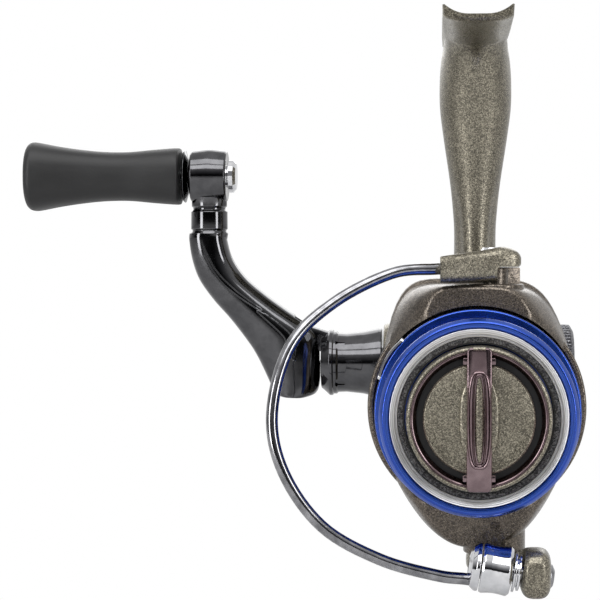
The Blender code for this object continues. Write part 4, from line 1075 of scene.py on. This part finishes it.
def make_rotor():
    """The rotor: a cup with an arm above and one below, and the seats of the bail's pivots."""
    rotor = turn_on_lathe(
        "rotor_cup",
        [
            (18.9, 20.5, 0.45),
            (18.9, 12.4, 1.5),
            (17.7, 10.9, 0.6),
            (16.5, 10.9, 0.3),
            (16.5, 14.6, 0.5),
            (3.3, 14.6),
            (3.3, 16.3),
            (13.8, 16.3, 0.4),
            (13.8, 19.9, 0.2),
            (15.0, 19.9, 0.2),
            (15.0, 16.3, 0.4),
            (17.8, 16.3, 0.5),
            (17.8, 20.5, 0.3),
        ],
        SHAFT,
        FRONT,
        RIGHT,
        128,
    )
    upper_rows = (
        (11.5, 16.2, 21.4),
        (14.0, 16.5, 22.2),
        (17.4, 16.4, 22.3),
        (18.6, 16.0, 21.5),
        (22.0, 14.2, 21.45),
        (26.0, 11.2, 21.4),
        (27.7, 9.4, 21.2),
        (28.2, 8.4, 20.7),
    )
    lower_rows = (
        (11.5, 15.5, 20.2),
        (15.0, 15.2, 21.6),
        (19.0, 14.4, 22.8),
        (23.0, 13.0, 23.4),
        (26.5, 11.0, 23.4),
        (27.7, 9.6, 23.1),
        (28.2, 8.6, 22.6),
    )
    upper = skin_over("upper_arm", [arm_ring(f, h, t, 1, 7.0, 4.6) for f, h, t in flow(upper_rows, 4)], 0)
    lower = skin_over("lower_arm", [arm_ring(f, h, t, -1, 2.6, 2.8) for f, h, t in flow(lower_rows, 4)], 0)
    pivot = at(*BAIL_PIVOT, 0)
    top_boss = turn_on_lathe(
        "upper_boss",
        [(0, 18.8), (5.0, 18.8), (5.0, 21.5, 0.35), (0, 21.5)],
        pivot,
        UP,
        RIGHT,
        64,
        ring=False,
    )
    low_boss = turn_on_lathe(
        "lower_boss",
        [(0, 18.8), (5.3, 18.8), (5.3, 24.6, 0.35), (0, 24.6)],
        pivot,
        DOWN,
        RIGHT,
        64,
        ring=False,
    )
    pin_boss = turn_on_lathe(
        "pin_boss",
        [(0, 20.5), (2.3, 20.5), (2.3, 24.3, 0.2), (0, 24.3)],
        pivot,
        UP,
        RIGHT,
        48,
        ring=False,
    )
    horn = turn_on_lathe(
        "horn",
        [(0, 20.5), (4.9, 20.5), (4.9, 24.3, 0.3), (0, 24.3)],
        pivot,
        UP,
        RIGHT,
        64,
        ring=False,
    )
    swept = block("bail_sweep", Vector((0, 0, 0)), (30, 10, 12))
    swept.data.transform(
        Matrix.Translation(at(*BAIL_PIVOT, 23.0)) @ Matrix.Rotation(
            math.radians(20),
            4,
            "Z",
        ) @ Matrix.Translation((0, -4.45 * MM, 0)),
    )
    left_side = block("bail_side", at(-1.4, -23.0, 23.0), (10, 20, 12))
    carve(horn, swept, left_side)
    fuse(rotor, upper, lower, top_boss, low_boss, pin_boss, horn)
    soften(rotor, 0.35, 3, 38)
    pocket = bar("spring_pocket", 3.7, pivot, DOWN, 20.4, 26.0, 48)
    bore = bar("pivot_bore", 1.35, pivot, UP, -30, 30, 24)
    carve(rotor, pocket, bore)
    hand_over(rotor, "rotor_group", BRONZE, "umber", "rotor", angle=32)


def make_bail_holder():
    """The wire's holder: a wedge that rises to the right over its pivot, with a flat front and a step below."""
    rows = (
        (-6.35, -28.2, 1.9, 21.85, 26.0),
        (-6.25, -28.2, 2.25, 21.75, 26.2),
        (-5.8, -28.0, 2.4, 21.75, 26.3),
        (-2.5, -26.2, 3.1, 21.75, 26.8),
        (1.0, -24.0, 4.2, 21.75, 27.3),
        (3.0, -23.2, 4.5, 21.75, 27.8),
        (4.6, -23.0, 4.3, 21.85, 27.9),
        (6.4, -23.0, 3.6, 23.6, 27.3),
        (7.1, -23.0, 2.9, 24.4, 26.7),
        (7.4, -23.0, 2.1, 24.8, 26.1),
    )
    rings = []
    for x, y, half, low, high in flow(rows, 4):
        rings.append(ellipse(at(x, y, (low + high) / 2), REAR, UP, half, (high - low) / 2, 4.2, 40))
    holder = skin_over("bail_wire_holder", rings, 0)
    sink = bar("holder_sink", 2.9, at(*BAIL_PIVOT, 0), UP, 26.2, 32, 48)
    step = block("holder_step", at(7.3, -23.0, 20.45), (8.0, 16.0, 8.0))
    soften(step, 0.6, 4)
    seat = bar("pivot_seat", 2.5, at(*BAIL_PIVOT, 0), UP, 18, 24.45, 48)
    carve(holder, sink, step, seat)
    bevel = block("holder_bevel", Vector((0, 0, 0)), (20, 4, 4))
    bevel.data.transform(
        Matrix.Translation(at(0, -29.4, 28.6)) @ Matrix.Rotation(
            math.radians(-5),
            4,
            "Y",
        ) @ Matrix.Rotation(math.radians(40), 4, "X"),
    )
    carve(holder, bevel)
    soften(holder, 0.25, 3, 40)
    hand_over(holder, "bail", PEWTER, "olive", "bail_holder", angle=40)


def make_bail_arm():
    """The arm that carries the line roller, swept forward from the lower pivot."""
    rows = (
        (17.6, 3.0, 1.6, -26.8, -24.2),
        (18.2, 3.0, 3.0, -27.6, -24.1),
        (19.4, 3.0, 4.2, -28.1, -24.0),
        (21.0, 3.0, 4.8, -28.3, -24.0),
        (25.0, 3.6, 4.8, -28.3, -24.0),
        (28.4, 6.4, 3.8, -28.6, -23.8),
        (31.2, 8.8, 2.9, -29.2, -22.8),
        (34.0, 9.4, 2.7, -29.85, -22.0),
        (38.0, 9.4, 2.6, -29.9, -22.0),
        (39.6, 9.4, 2.3, -29.6, -22.4),
        (40.5, 9.3, 1.7, -28.6, -23.4),
        (40.8, 9.2, 1.2, -27.6, -24.4),
    )
    rings = []
    for forward, middle, half, low, high in flow(rows, 4):
        rings.append(
            ellipse(at(middle, -forward, (low + high) / 2), RIGHT, UP, half, (high - low) / 2, 3.2, 40),
        )
    arm = skin_over("bail_roller_arm", rings, 0)
    roof = block("arm_roof", at(3.0, -22.8, -20.9), (16, 11.6, 8))
    face = bar("bush_face", 6.0, ROLLER, ROLLER_AXIS, -4, 4.3, 48)
    sink = bar("screw_sink", 2.6, ROLLER, ROLLER_AXIS, 8.4, 13, 48)
    carve(arm, roof, face, sink)
    soften(arm, 0.2, 3, 45)
    hand_over(arm, "bail", PEWTER, "olive", "bail_arm", angle=40)


def make_roller():
    """The line roller with its washers and its slotted screw."""
    side = ROLLER_AXIS.orthogonal().normalized()
    roller = turn_on_lathe(
        "line_roller_sleeve",
        [
            (3.7, 2.5, 0.15),
            (4.15, 2.0, 0.3),
            (4.0, 0.9, 0.8),
            (3.95, 0.0, 3.0),
            (4.0, -0.9, 0.8),
            (4.2, -2.1, 0.25),
            (4.0, -2.5, 0.15),
            (2.0, -2.5),
            (2.0, 2.5),
        ],
        ROLLER,
        ROLLER_AXIS,
        side,
        96,
    )
    hand_over(roller, "roller", CHROME, "bright_chrome", "line_roller")
    bush = turn_on_lathe(
        "roller_bush_washers",
        [
            (3.3, 2.8, 0.12),
            (3.3, 3.2, 0.12),
            (2.5, 3.25, 0.05),
            (2.5, 3.5, 0.05),
            (3.0, 3.55, 0.1),
            (3.0, 4.0, 0.15),
            (1.4, 4.0),
            (1.4, 2.8),
        ],
        ROLLER,
        ROLLER_AXIS,
        side,
        64,
    )
    hand_over(bush, "bail", CHROME, "dark_chrome", "roller_bush")
    head = turn_on_lathe(
        "roller_screw_head",
        [(0, 9.55), (1.3, 9.55, 0.4), (2.2, 9.0, 0.4), (2.2, 8.7), (1.1, 8.7), (1.1, -1.5), (0, -1.5)],
        ROLLER,
        ROLLER_AXIS,
        side,
        48,
        ring=False,
    )
    slot = block("screw_slot", Vector((0, 0, 0)), (1.2, 0.6, 6))
    slot.data.transform(
        Matrix.Translation(
            ROLLER + ROLLER_AXIS * (9.75 * MM),
        ) @ ROLLER_AXIS.to_track_quat("X", "Z").to_matrix().to_4x4(),
    )
    carve(head, slot)
    hand_over(head, "bail", WIRE_STEEL, "bright_chrome", "roller_screw")


def make_bail_wire():
    """The bail wire and the cone at its end, beside the roller."""
    path = (
        (-4.0, -27.2, 24.1),
        (-7.4, -28.5, 24.1),
        (-14.5, -30.8, 23.4),
        (-24.0, -34.5, 18.6),
        (-31.0, -38.0, 11.5),
        (-33.8, -40.8, 0.5),
        (-31.8, -42.1, -9.0),
        (-25.5, -42.0, -17.8),
        (-16.2, -40.4, -23.3),
        (-7.0, -38.2, -26.2),
        (-2.4, -37.2, -26.9),
        (-0.4, -36.8, -27.2),
    )
    wire = wire_along("bail_wire_bow", [at(*spot) for spot in path], 1.0)
    side = ROLLER_AXIS.orthogonal().normalized()
    cone = turn_on_lathe(
        "wire_cone",
        [
            (1.4, -2.8),
            (4.0, -2.7, 0.12),
            (4.0, -3.3, 0.3),
            (3.4, -4.1, 0.6),
            (1.5, -4.6, 0.4),
            (1.4, -4.6),
        ],
        ROLLER,
        ROLLER_AXIS,
        side,
        64,
    )
    hand_over(wire, "bail", WIRE_STEEL, "dark_chrome", "bail_wire")
    hand_over(cone, "bail", CHROME, "dark_chrome")


# ---------------------------------------------------------------- handle


def crank_axis(name, outline, steps=96, ring=False):
    """A piece turned round the crank; distances run towards the handle."""
    return turn_on_lathe(name, outline, at(0, 0, CRANK_Z), LEFT, UP, steps, ring)


def make_shank():
    """The crank's shank, waisted, with a notched collar and the lug that the arm folds on."""
    shank = crank_axis(
        "crank_shank",
        [
            (0, 28.0),
            (4.7, 28.0, 0.15),
            (5.0, 27.6, 0.2),
            (6.05, 26.45, 0.25),
            (6.0, 25.9, 0.15),
            (5.75, 25.75, 0.1),
            (5.75, 25.2, 0.1),
            (5.45, 24.9, 0.3),
            (5.38, 23.4, 1.5),
            (5.7, 20.4, 3.0),
            (6.3, 17.6, 0.4),
            (6.3, 16.95, 0.15),
            (3.0, 16.95),
            (3.0, 13.0),
            (0, 13.0),
        ],
    )
    for turn in (math.radians(52), math.radians(128), math.radians(232), math.radians(308)):
        spot = at(-24.5, -5.75 * math.sin(turn), CRANK_Z + 5.75 * math.cos(turn))
        flat = block("shank_notch", Vector((0, 0, 0)), (1.7, 1.5, 1.1))
        flat.data.transform(Matrix.Translation(spot) @ Matrix.Rotation(turn, 4, "X"))
        carve(shank, flat)
    lug_outline = outline_round([(-30.6, 11.3, 1.9), (-26.0, 9.9, 1.9)], 0, 48)
    lug = cut_from_plate("fold_lug", lug_outline, at(0, 0, 0), RIGHT, UP, 3.0, 0.2, 2)
    fuse(shank, lug)
    hand_over(shank, "crank", BLACK_CHROME, "black_chrome", "handle_shank", angle=30)


ARM_EDGES = (
    (-35.4, 0.25, -31.0, 0.1),
    (-36.3, 0.55, -30.1, 0.35),
    (-36.9, 1.3, -29.1, 0.9),
    (-37.5, 2.6, -28.5, 2.2),
    (-38.6, 5.0, -28.2, 5.5),
    (-39.9, 7.6, -28.2, 9.5),
    (-41.4, 10.0, -29.4, 12.7),
    (-44.7, 14.3, -34.6, 16.3),
    (-48.0, 18.0, -38.6, 19.2),
    (-50.6, 21.7, -42.2, 22.3),
    (-51.9, 25.3, -44.5, 25.6),
    (-52.5, 29.0, -45.5, 29.0),
    (-52.45, 30.2, -45.5, 30.2),
)


def arm_line(rows):
    """Middle, slope, half width and half depth of the arm at each row."""
    for left, left_z, right, right_z in rows:
        start, end = Vector((left, 0, left_z)), Vector((right, 0, right_z))
        share = min(1.0, (left_z + right_z) / 2 / KNOB_Z)
        yield (start + end) / 2, (end - start).normalized(), (end - start).length / 2, 4.0 * (1 - 0.16 * share)


def make_arm():
    """The handle arm, curved up from the fold to the knob's eye."""
    rows = flow(ARM_EDGES, 6)
    rings = []
    for middle, slope, half, depth in arm_line(rows):
        rings.append(ellipse(at(*middle), slope, REAR, half, depth, 2.35, 48))
    arm = skin_over("crank_arm_casting", rings, 0)
    top = at(0, 0, KNOB_Z)
    spot = at(-48.8, 0, 0)
    eye = turn_on_lathe(
        "knob_eye",
        [
            (0, 45.45),
            (4.5, 45.45, 0.25),
            (4.72, 45.75, 0.25),
            (5.1, 48.8, 6.0),
            (4.72, 51.85, 0.25),
            (4.5, 52.15, 0.25),
            (0, 52.15),
        ],
        top,
        LEFT,
        UP,
        96,
        ring=False,
    )
    neck = turn_on_lathe(
        "eye_neck",
        [
            (0, 38.6),
            (3.25, 38.6, 0.2),
            (3.25, 35.2, 0.25),
            (2.95, 34.9, 0.1),
            (3.0, 34.6, 0.1),
            (3.35, 34.2, 0.3),
            (3.38, 31.0, 0.3),
            (3.1, 30.8, 0.1),
            (3.2, 30.6, 0.1),
            (3.45, 30.2, 0.2),
            (3.3, 29.2),
            (0, 29.2),
        ],
        spot,
        UP,
        RIGHT,
        64,
        ring=False,
    )
    fuse(arm, eye, neck)
    face = block("arm_face", at(-18.3, 0, 0), (20, 20, 40))
    slot = block("lug_slot", at(-29.7, 0, 12.9), (6.6, 3.6, 12.0))
    way = bar("eye_way", 2.05, top, LEFT, 44, 54, 32)
    carve(arm, face, slot, way)
    soften(arm, 0.16, 2, 50)
    hand_over(arm, "crank_arm", BLACK_CHROME, "black_chrome", "handle_arm", angle=40)


def arm_front(share, across, raise_by):
    """A place on the arm's front face, along it by share and across it by a share of its half width."""
    rows = flow(ARM_EDGES, 6)
    middle, slope, half, depth = list(arm_line([rows[round(share * (len(rows) - 1))]]))[0]
    full = 2.35
    deep = depth * (1 - abs(across) ** full) ** (1 / full)
    return at(*middle) + slope * (across * half * MM) + FRONT * ((deep + raise_by) * MM)


def make_arm_ribs():
    """Two leaf-shaped raised lips that follow the arm's bend, one after the other."""
    for name, leaf in (
        (
            "upper",
            (
                (0.93, -0.3),
                (0.86, -0.1),
                (0.78, 0.05),
                (0.7, 0.18),
                (0.62, 0.3),
                (0.6, 0.34),
                (0.61, 0.2),
                (0.68, 0.02),
                (0.76, -0.14),
                (0.85, -0.28),
            ),
        ),
        (
            "lower",
            (
                (0.6, 0.12),
                (0.57, 0.3),
                (0.52, 0.32),
                (0.46, 0.3),
                (0.4, 0.24),
                (0.37, 0.12),
                (0.42, 0.06),
                (0.48, 0.08),
                (0.54, 0.1),
            ),
        ),
    ):
        rows = flow([*leaf, leaf[0]], 5)[:-1]
        line = [arm_front(share, across, -0.02) for share, across in rows]
        rings = []
        for i, spot in enumerate(line):
            ahead = (line[(i + 1) % len(line)] - line[i - 1]).normalized()
            side = FRONT.cross(ahead).normalized()
            rings.append(
                [
                    spot + (side * math.cos(a) + FRONT * math.sin(a)) * (0.16 * MM)
                    for a in (math.tau * k / 10 for k in range(10))
                ],
            )
        rib = closed_tube(f"arm_rib_{name}", rings)
        hand_over(rib, "crank_arm", BLACK_CHROME, "black_chrome")


def make_knob():
    """The rubber knob with its end plug and the plated flange at its root."""
    rows = (
        (-53.95, 3.9, 4.4, 2.2),
        (-54.0, 4.5, 5.0, 2.3),
        (-54.2, 4.9, 5.5, 2.4),
        (-54.7, 5.2, 5.8, 2.6),
        (-59.0, 4.9, 5.6, 2.7),
        (-63.6, 4.5, 5.3, 2.8),
        (-68.2, 4.55, 5.4, 2.9),
        (-72.8, 5.0, 6.0, 3.0),
        (-76.8, 5.6, 6.8, 3.0),
        (-80.2, 6.25, 7.45, 2.9),
        (-81.3, 6.3, 7.5, 2.8),
        (-82.0, 5.9, 7.0, 2.6),
        (-82.35, 5.2, 6.2, 2.4),
        (-82.45, 4.2, 5.0, 2.2),
    )
    rings = [ellipse(at(x, 0, KNOB_Z), REAR, UP, 2.1, 2.1, 2.0, 64, 0.0) for x in (-80.0, -53.9)]
    rings += [ellipse(at(x, 0, KNOB_Z), REAR, UP, depth, height, full, 64, 0.0) for x, height, depth, full in flow(rows, 6)]
    rings += [ellipse(at(x, 0, KNOB_Z), REAR, UP, 3.2, 3.2, 2.0, 64, 0.0) for x in (-82.3, -81.3)]
    knob = skin_over("knob_grip", rings, 0)
    for corner in knob.data.vertices:
        seam = abs(corner.co.z - at(0, 0, KNOB_Z).z) / MM
        if seam < 0.12 and corner.co.y < -3 * MM and -80 * MM < corner.co.x < -56 * MM:
            corner.co.y -= 0.12 * MM
    hand_over(knob, "crank_knob", RUBBER, "rubber", "handle_knob", angle=45)
    cap = turn_on_lathe(
        "knob_end_plug",
        [(0, 82.6), (2.4, 82.6, 0.3), (3.0, 82.3, 0.2), (3.0, 81.8), (0, 81.8)],
        at(0, 0, KNOB_Z),
        LEFT,
        UP,
        48,
        ring=False,
    )
    hand_over(cap, "crank_knob", BLACK_CHROME, "black_chrome", "knob_end_cap")
    washer = turn_on_lathe(
        "knob_flange",
        [(4.6, 53.5, 0.08), (4.9, 53.2, 0.08), (3.0, 52.6, 0.1), (2.3, 52.5), (2.3, 53.5)],
        at(0, 0, KNOB_Z),
        LEFT,
        UP,
        64,
    )
    hand_over(washer, "crank_arm", BLACK_CHROME, "black_chrome", "knob_washer")


def make_screw_cap():
    """The knurled cap opposite the handle."""
    low, high = 13.8, 17.9
    radius = 7.1
    teeth = 60
    outline = []
    for i in range(teeth):
        for share, deep in ((0.0, 0.3), (0.25, 0.05), (0.5, 0.0), (0.75, 0.05)):
            angle = math.tau * (i + share) / teeth
            outline.append(((radius - deep) * math.cos(angle), (radius - deep) * math.sin(angle)))
    cap = cut_from_plate("knurled_cap", outline, at((low + high) / 2, 0, CRANK_Z), REAR, UP, high - low)
    shell = turn_on_lathe(
        "cap_shell",
        [
            (0, high + 1),
            (9, high + 1),
            (9, low - 1),
            (radius - 0.9, low - 1),
            (radius - 0.9, low),
            (radius - 0.1, low + 0.7),
            (radius + 0.2, low + 1),
            (radius + 0.2, high - 1.2),
            (radius - 0.2, high - 0.7),
            (radius - 1.4, high, 0.4),
            (radius - 1.9, high - 0.5, 0.2),
            (0, high - 0.6),
        ],
        at(0, 0, CRANK_Z),
        RIGHT,
        UP,
        96,
        ring=False,
    )
    carve(cap, shell)
    hand_over(cap, "crank", GUNPOWDER, "black_chrome", "handle_screw_cap", angle=25)


make_spool()
make_clip()
make_drag_knob()
make_grip()
make_housing()
make_cover()
make_rotor()
make_bail_holder()
make_bail_arm()
make_roller()
make_bail_wire()
make_shank()
make_arm()
make_arm_ribs()
make_knob()
make_screw_cap()


# ---------------------------------------------------------------- camera, light and floor


def make_floor():
    """A pale floor under the lowest point, which shows plain white, as a lit sheet of paper does."""
    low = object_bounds()[0]
    floor = begin("floor", bpy.ops.mesh.primitive_plane_add, size=8.0, location=(0, 0, low[2] - 12 * MM))
    bpy.ops.mesh.subdivide(number_cuts=2)
    close_up()
    look, tree, shader, spot = start_material("pale_studio_floor", Roughness=0.85)
    tone = add(tree, "ShaderNodeTexNoise", {"Vector": spot, "Scale": 3.0})
    tree.links.new(
        ramp(tree, tone.outputs["Fac"], (0.3, "#c8c8c8"), (0.7, "#cecece")),
        shader.inputs["Base Color"],
    )
    path = add(tree, "ShaderNodeLightPath")
    glow = add(tree, "ShaderNodeEmission", {"Color": (1, 1, 1, 1), "Strength": 1.0})
    pick = add(
        tree,
        "ShaderNodeMixShader",
        {0: path.outputs["Is Camera Ray"], 1: shader.outputs[0], 2: glow.outputs[0]},
    )
    tree.links.new(pick.outputs[0], tree.nodes["Material Output"].inputs["Surface"])
    floor.data.materials.append(look)


def make_room():
    """The studio round the reel: white behind, dim round the camera, softer grey above and below."""
    world = bpy.data.worlds.new("studio")
    bpy.context.scene.world = world
    world.use_nodes = True
    tree = world.node_tree
    tree.nodes.clear()
    spots = add(tree, "ShaderNodeTexCoord")
    way = add(tree, "ShaderNodeSeparateXYZ", {0: spots.outputs["Generated"]})
    height = add(tree, "ShaderNodeMapRange", {"Value": way.outputs["Z"], "From Min": -1.0, "From Max": 1.0})
    behind = add(tree, "ShaderNodeMapRange", {"Value": way.outputs["Y"], "From Min": -0.35, "From Max": 0.5})
    walls = ramp(
        tree,
        height.outputs["Result"],
        (0.0, "#d8d8d8"),
        (0.2, "#cccccc"),
        (0.34, "#707072"),
        (0.44, "#242426"),
        (0.56, "#242426"),
        (0.66, "#808082"),
        (0.8, "#e8e8e8"),
        (1.0, "#ffffff"),
    )
    mixed = add(
        tree,
        "ShaderNodeMix",
        {0: behind.outputs["Result"], 6: walls, 7: (0.8, 0.8, 0.8, 1)},
        data_type="RGBA",
    )
    path = add(tree, "ShaderNodeLightPath")
    shown = add(tree, "ShaderNodeBackground", {"Color": (1, 1, 1, 1), "Strength": 1.0})
    cast = add(tree, "ShaderNodeBackground", {"Color": mixed.outputs[2], "Strength": 1.0})
    pick = add(
        tree,
        "ShaderNodeMixShader",
        {0: path.outputs["Is Camera Ray"], 1: cast.outputs[0], 2: shown.outputs[0]},
    )
    add(tree, "ShaderNodeOutputWorld", {"Surface": pick.outputs[0]})


def make_lights():
    """Soft boxes at the sides for the two long highlights, one above, and weak ones in front."""
    aim = Vector((-20 * MM, -20 * MM, -50 * MM))
    for name, spot, width, height, radiance in (
        ("left_box", (-0.56, -0.52, 0.0), 0.2, 0.6, 7.5),
        ("right_box", (0.60, -0.46, 0.0), 0.18, 0.6, 7.0),
        ("top_box", (-0.05, -0.3, 0.62), 0.7, 0.3, 3.0),
        ("front_above", (-0.05, -0.62, 0.5), 0.8, 0.24, 3.4),
        ("front_below", (0.0, -0.6, -0.52), 0.7, 0.18, 1.6),
        ("rear_box", (-0.1, 0.6, 0.3), 0.7, 0.5, 1.6),
    ):
        light = bpy.data.lights.new(name, "AREA")
        light.shape = "RECTANGLE"
        light.size, light.size_y = width, height
        light.energy = radiance * math.pi * width * height
        lamp = bpy.data.objects.new(name, light)
        bpy.context.scene.collection.objects.link(lamp)
        lamp.location = spot
        lamp.rotation_euler = (aim - Vector(spot)).to_track_quat("-Z", "Y").to_euler()


def make_camera():
    """A long lens in front, a little left of the spool and above it, turned slightly left and down."""
    camera = bpy.data.cameras.new("camera")
    camera.sensor_width = 36.0
    camera.lens = 120.0
    camera.clip_start, camera.clip_end = 0.01, 20.0
    eye = bpy.data.objects.new("camera", camera)
    bpy.context.scene.collection.objects.link(eye)
    eye.location = (-6.37 * MM, -367 * MM, SHAFT.z + 29 * MM)
    left, down = math.atan(140 / 2000), math.atan(60 / 2000)
    eye.rotation_euler = (math.pi / 2 - down, 0, left)
    bpy.context.scene.camera = eye


make_floor()
make_room()
make_lights()
make_camera()
bpy.context.scene.view_settings.view_transform = "Standard"

for name, looks in {
    "pewter": (PEWTER, "housing side_cover drag_knob drag_knob_disc bail_holder bail_arm"),
    "bronze": (BRONZE, "rotor rear_guard anti_reverse_lever handle_screw_cap"),
    "black": (BLACK_CHROME, "handle_arm handle_shank knob_washer knob_end_cap roller_bush"),
    "wire": (WIRE_STEEL, "bail_wire"),
    "wine": (WINE_CHROME, "drag_knob_ring drag_knob_grip"),
    "chrome": (CHROME, "line_roller roller_screw upper_pivot_screw lower_pivot_screw knob_spindle"),
    "blue": (BLUE, "spool_lip"),
    "silver": (SILVER, "spool"),
    "steel": (
        STEEL,
        "cover_screw_1 cover_screw_2 cover_screw_3 guard_screw pinion_bearing one_way_clutch drive_bearing_left "
        "drive_bearing_right guide_rod_left guide_rod_right main_shaft rotor_nut bail_spring trip_lever click_pawl "
        "drag_washer_2 retaining_ring drag_spring fold_pin",
    ),
    "brass": (BRASS, "drive_gear pinion drag_nut"),
    "nylon": (NYLON, "oscillation_gear crosswind_slider click_gear"),
    "felt": (FELT, "drag_washer_1 drag_washer_3"),
    "rubber": (RUBBER, "handle_knob"),
}.items():
    look, nodes = looks
    for node in nodes.split():
        NODES[node].data.materials.clear()
        NODES[node].data.materials.append(look)
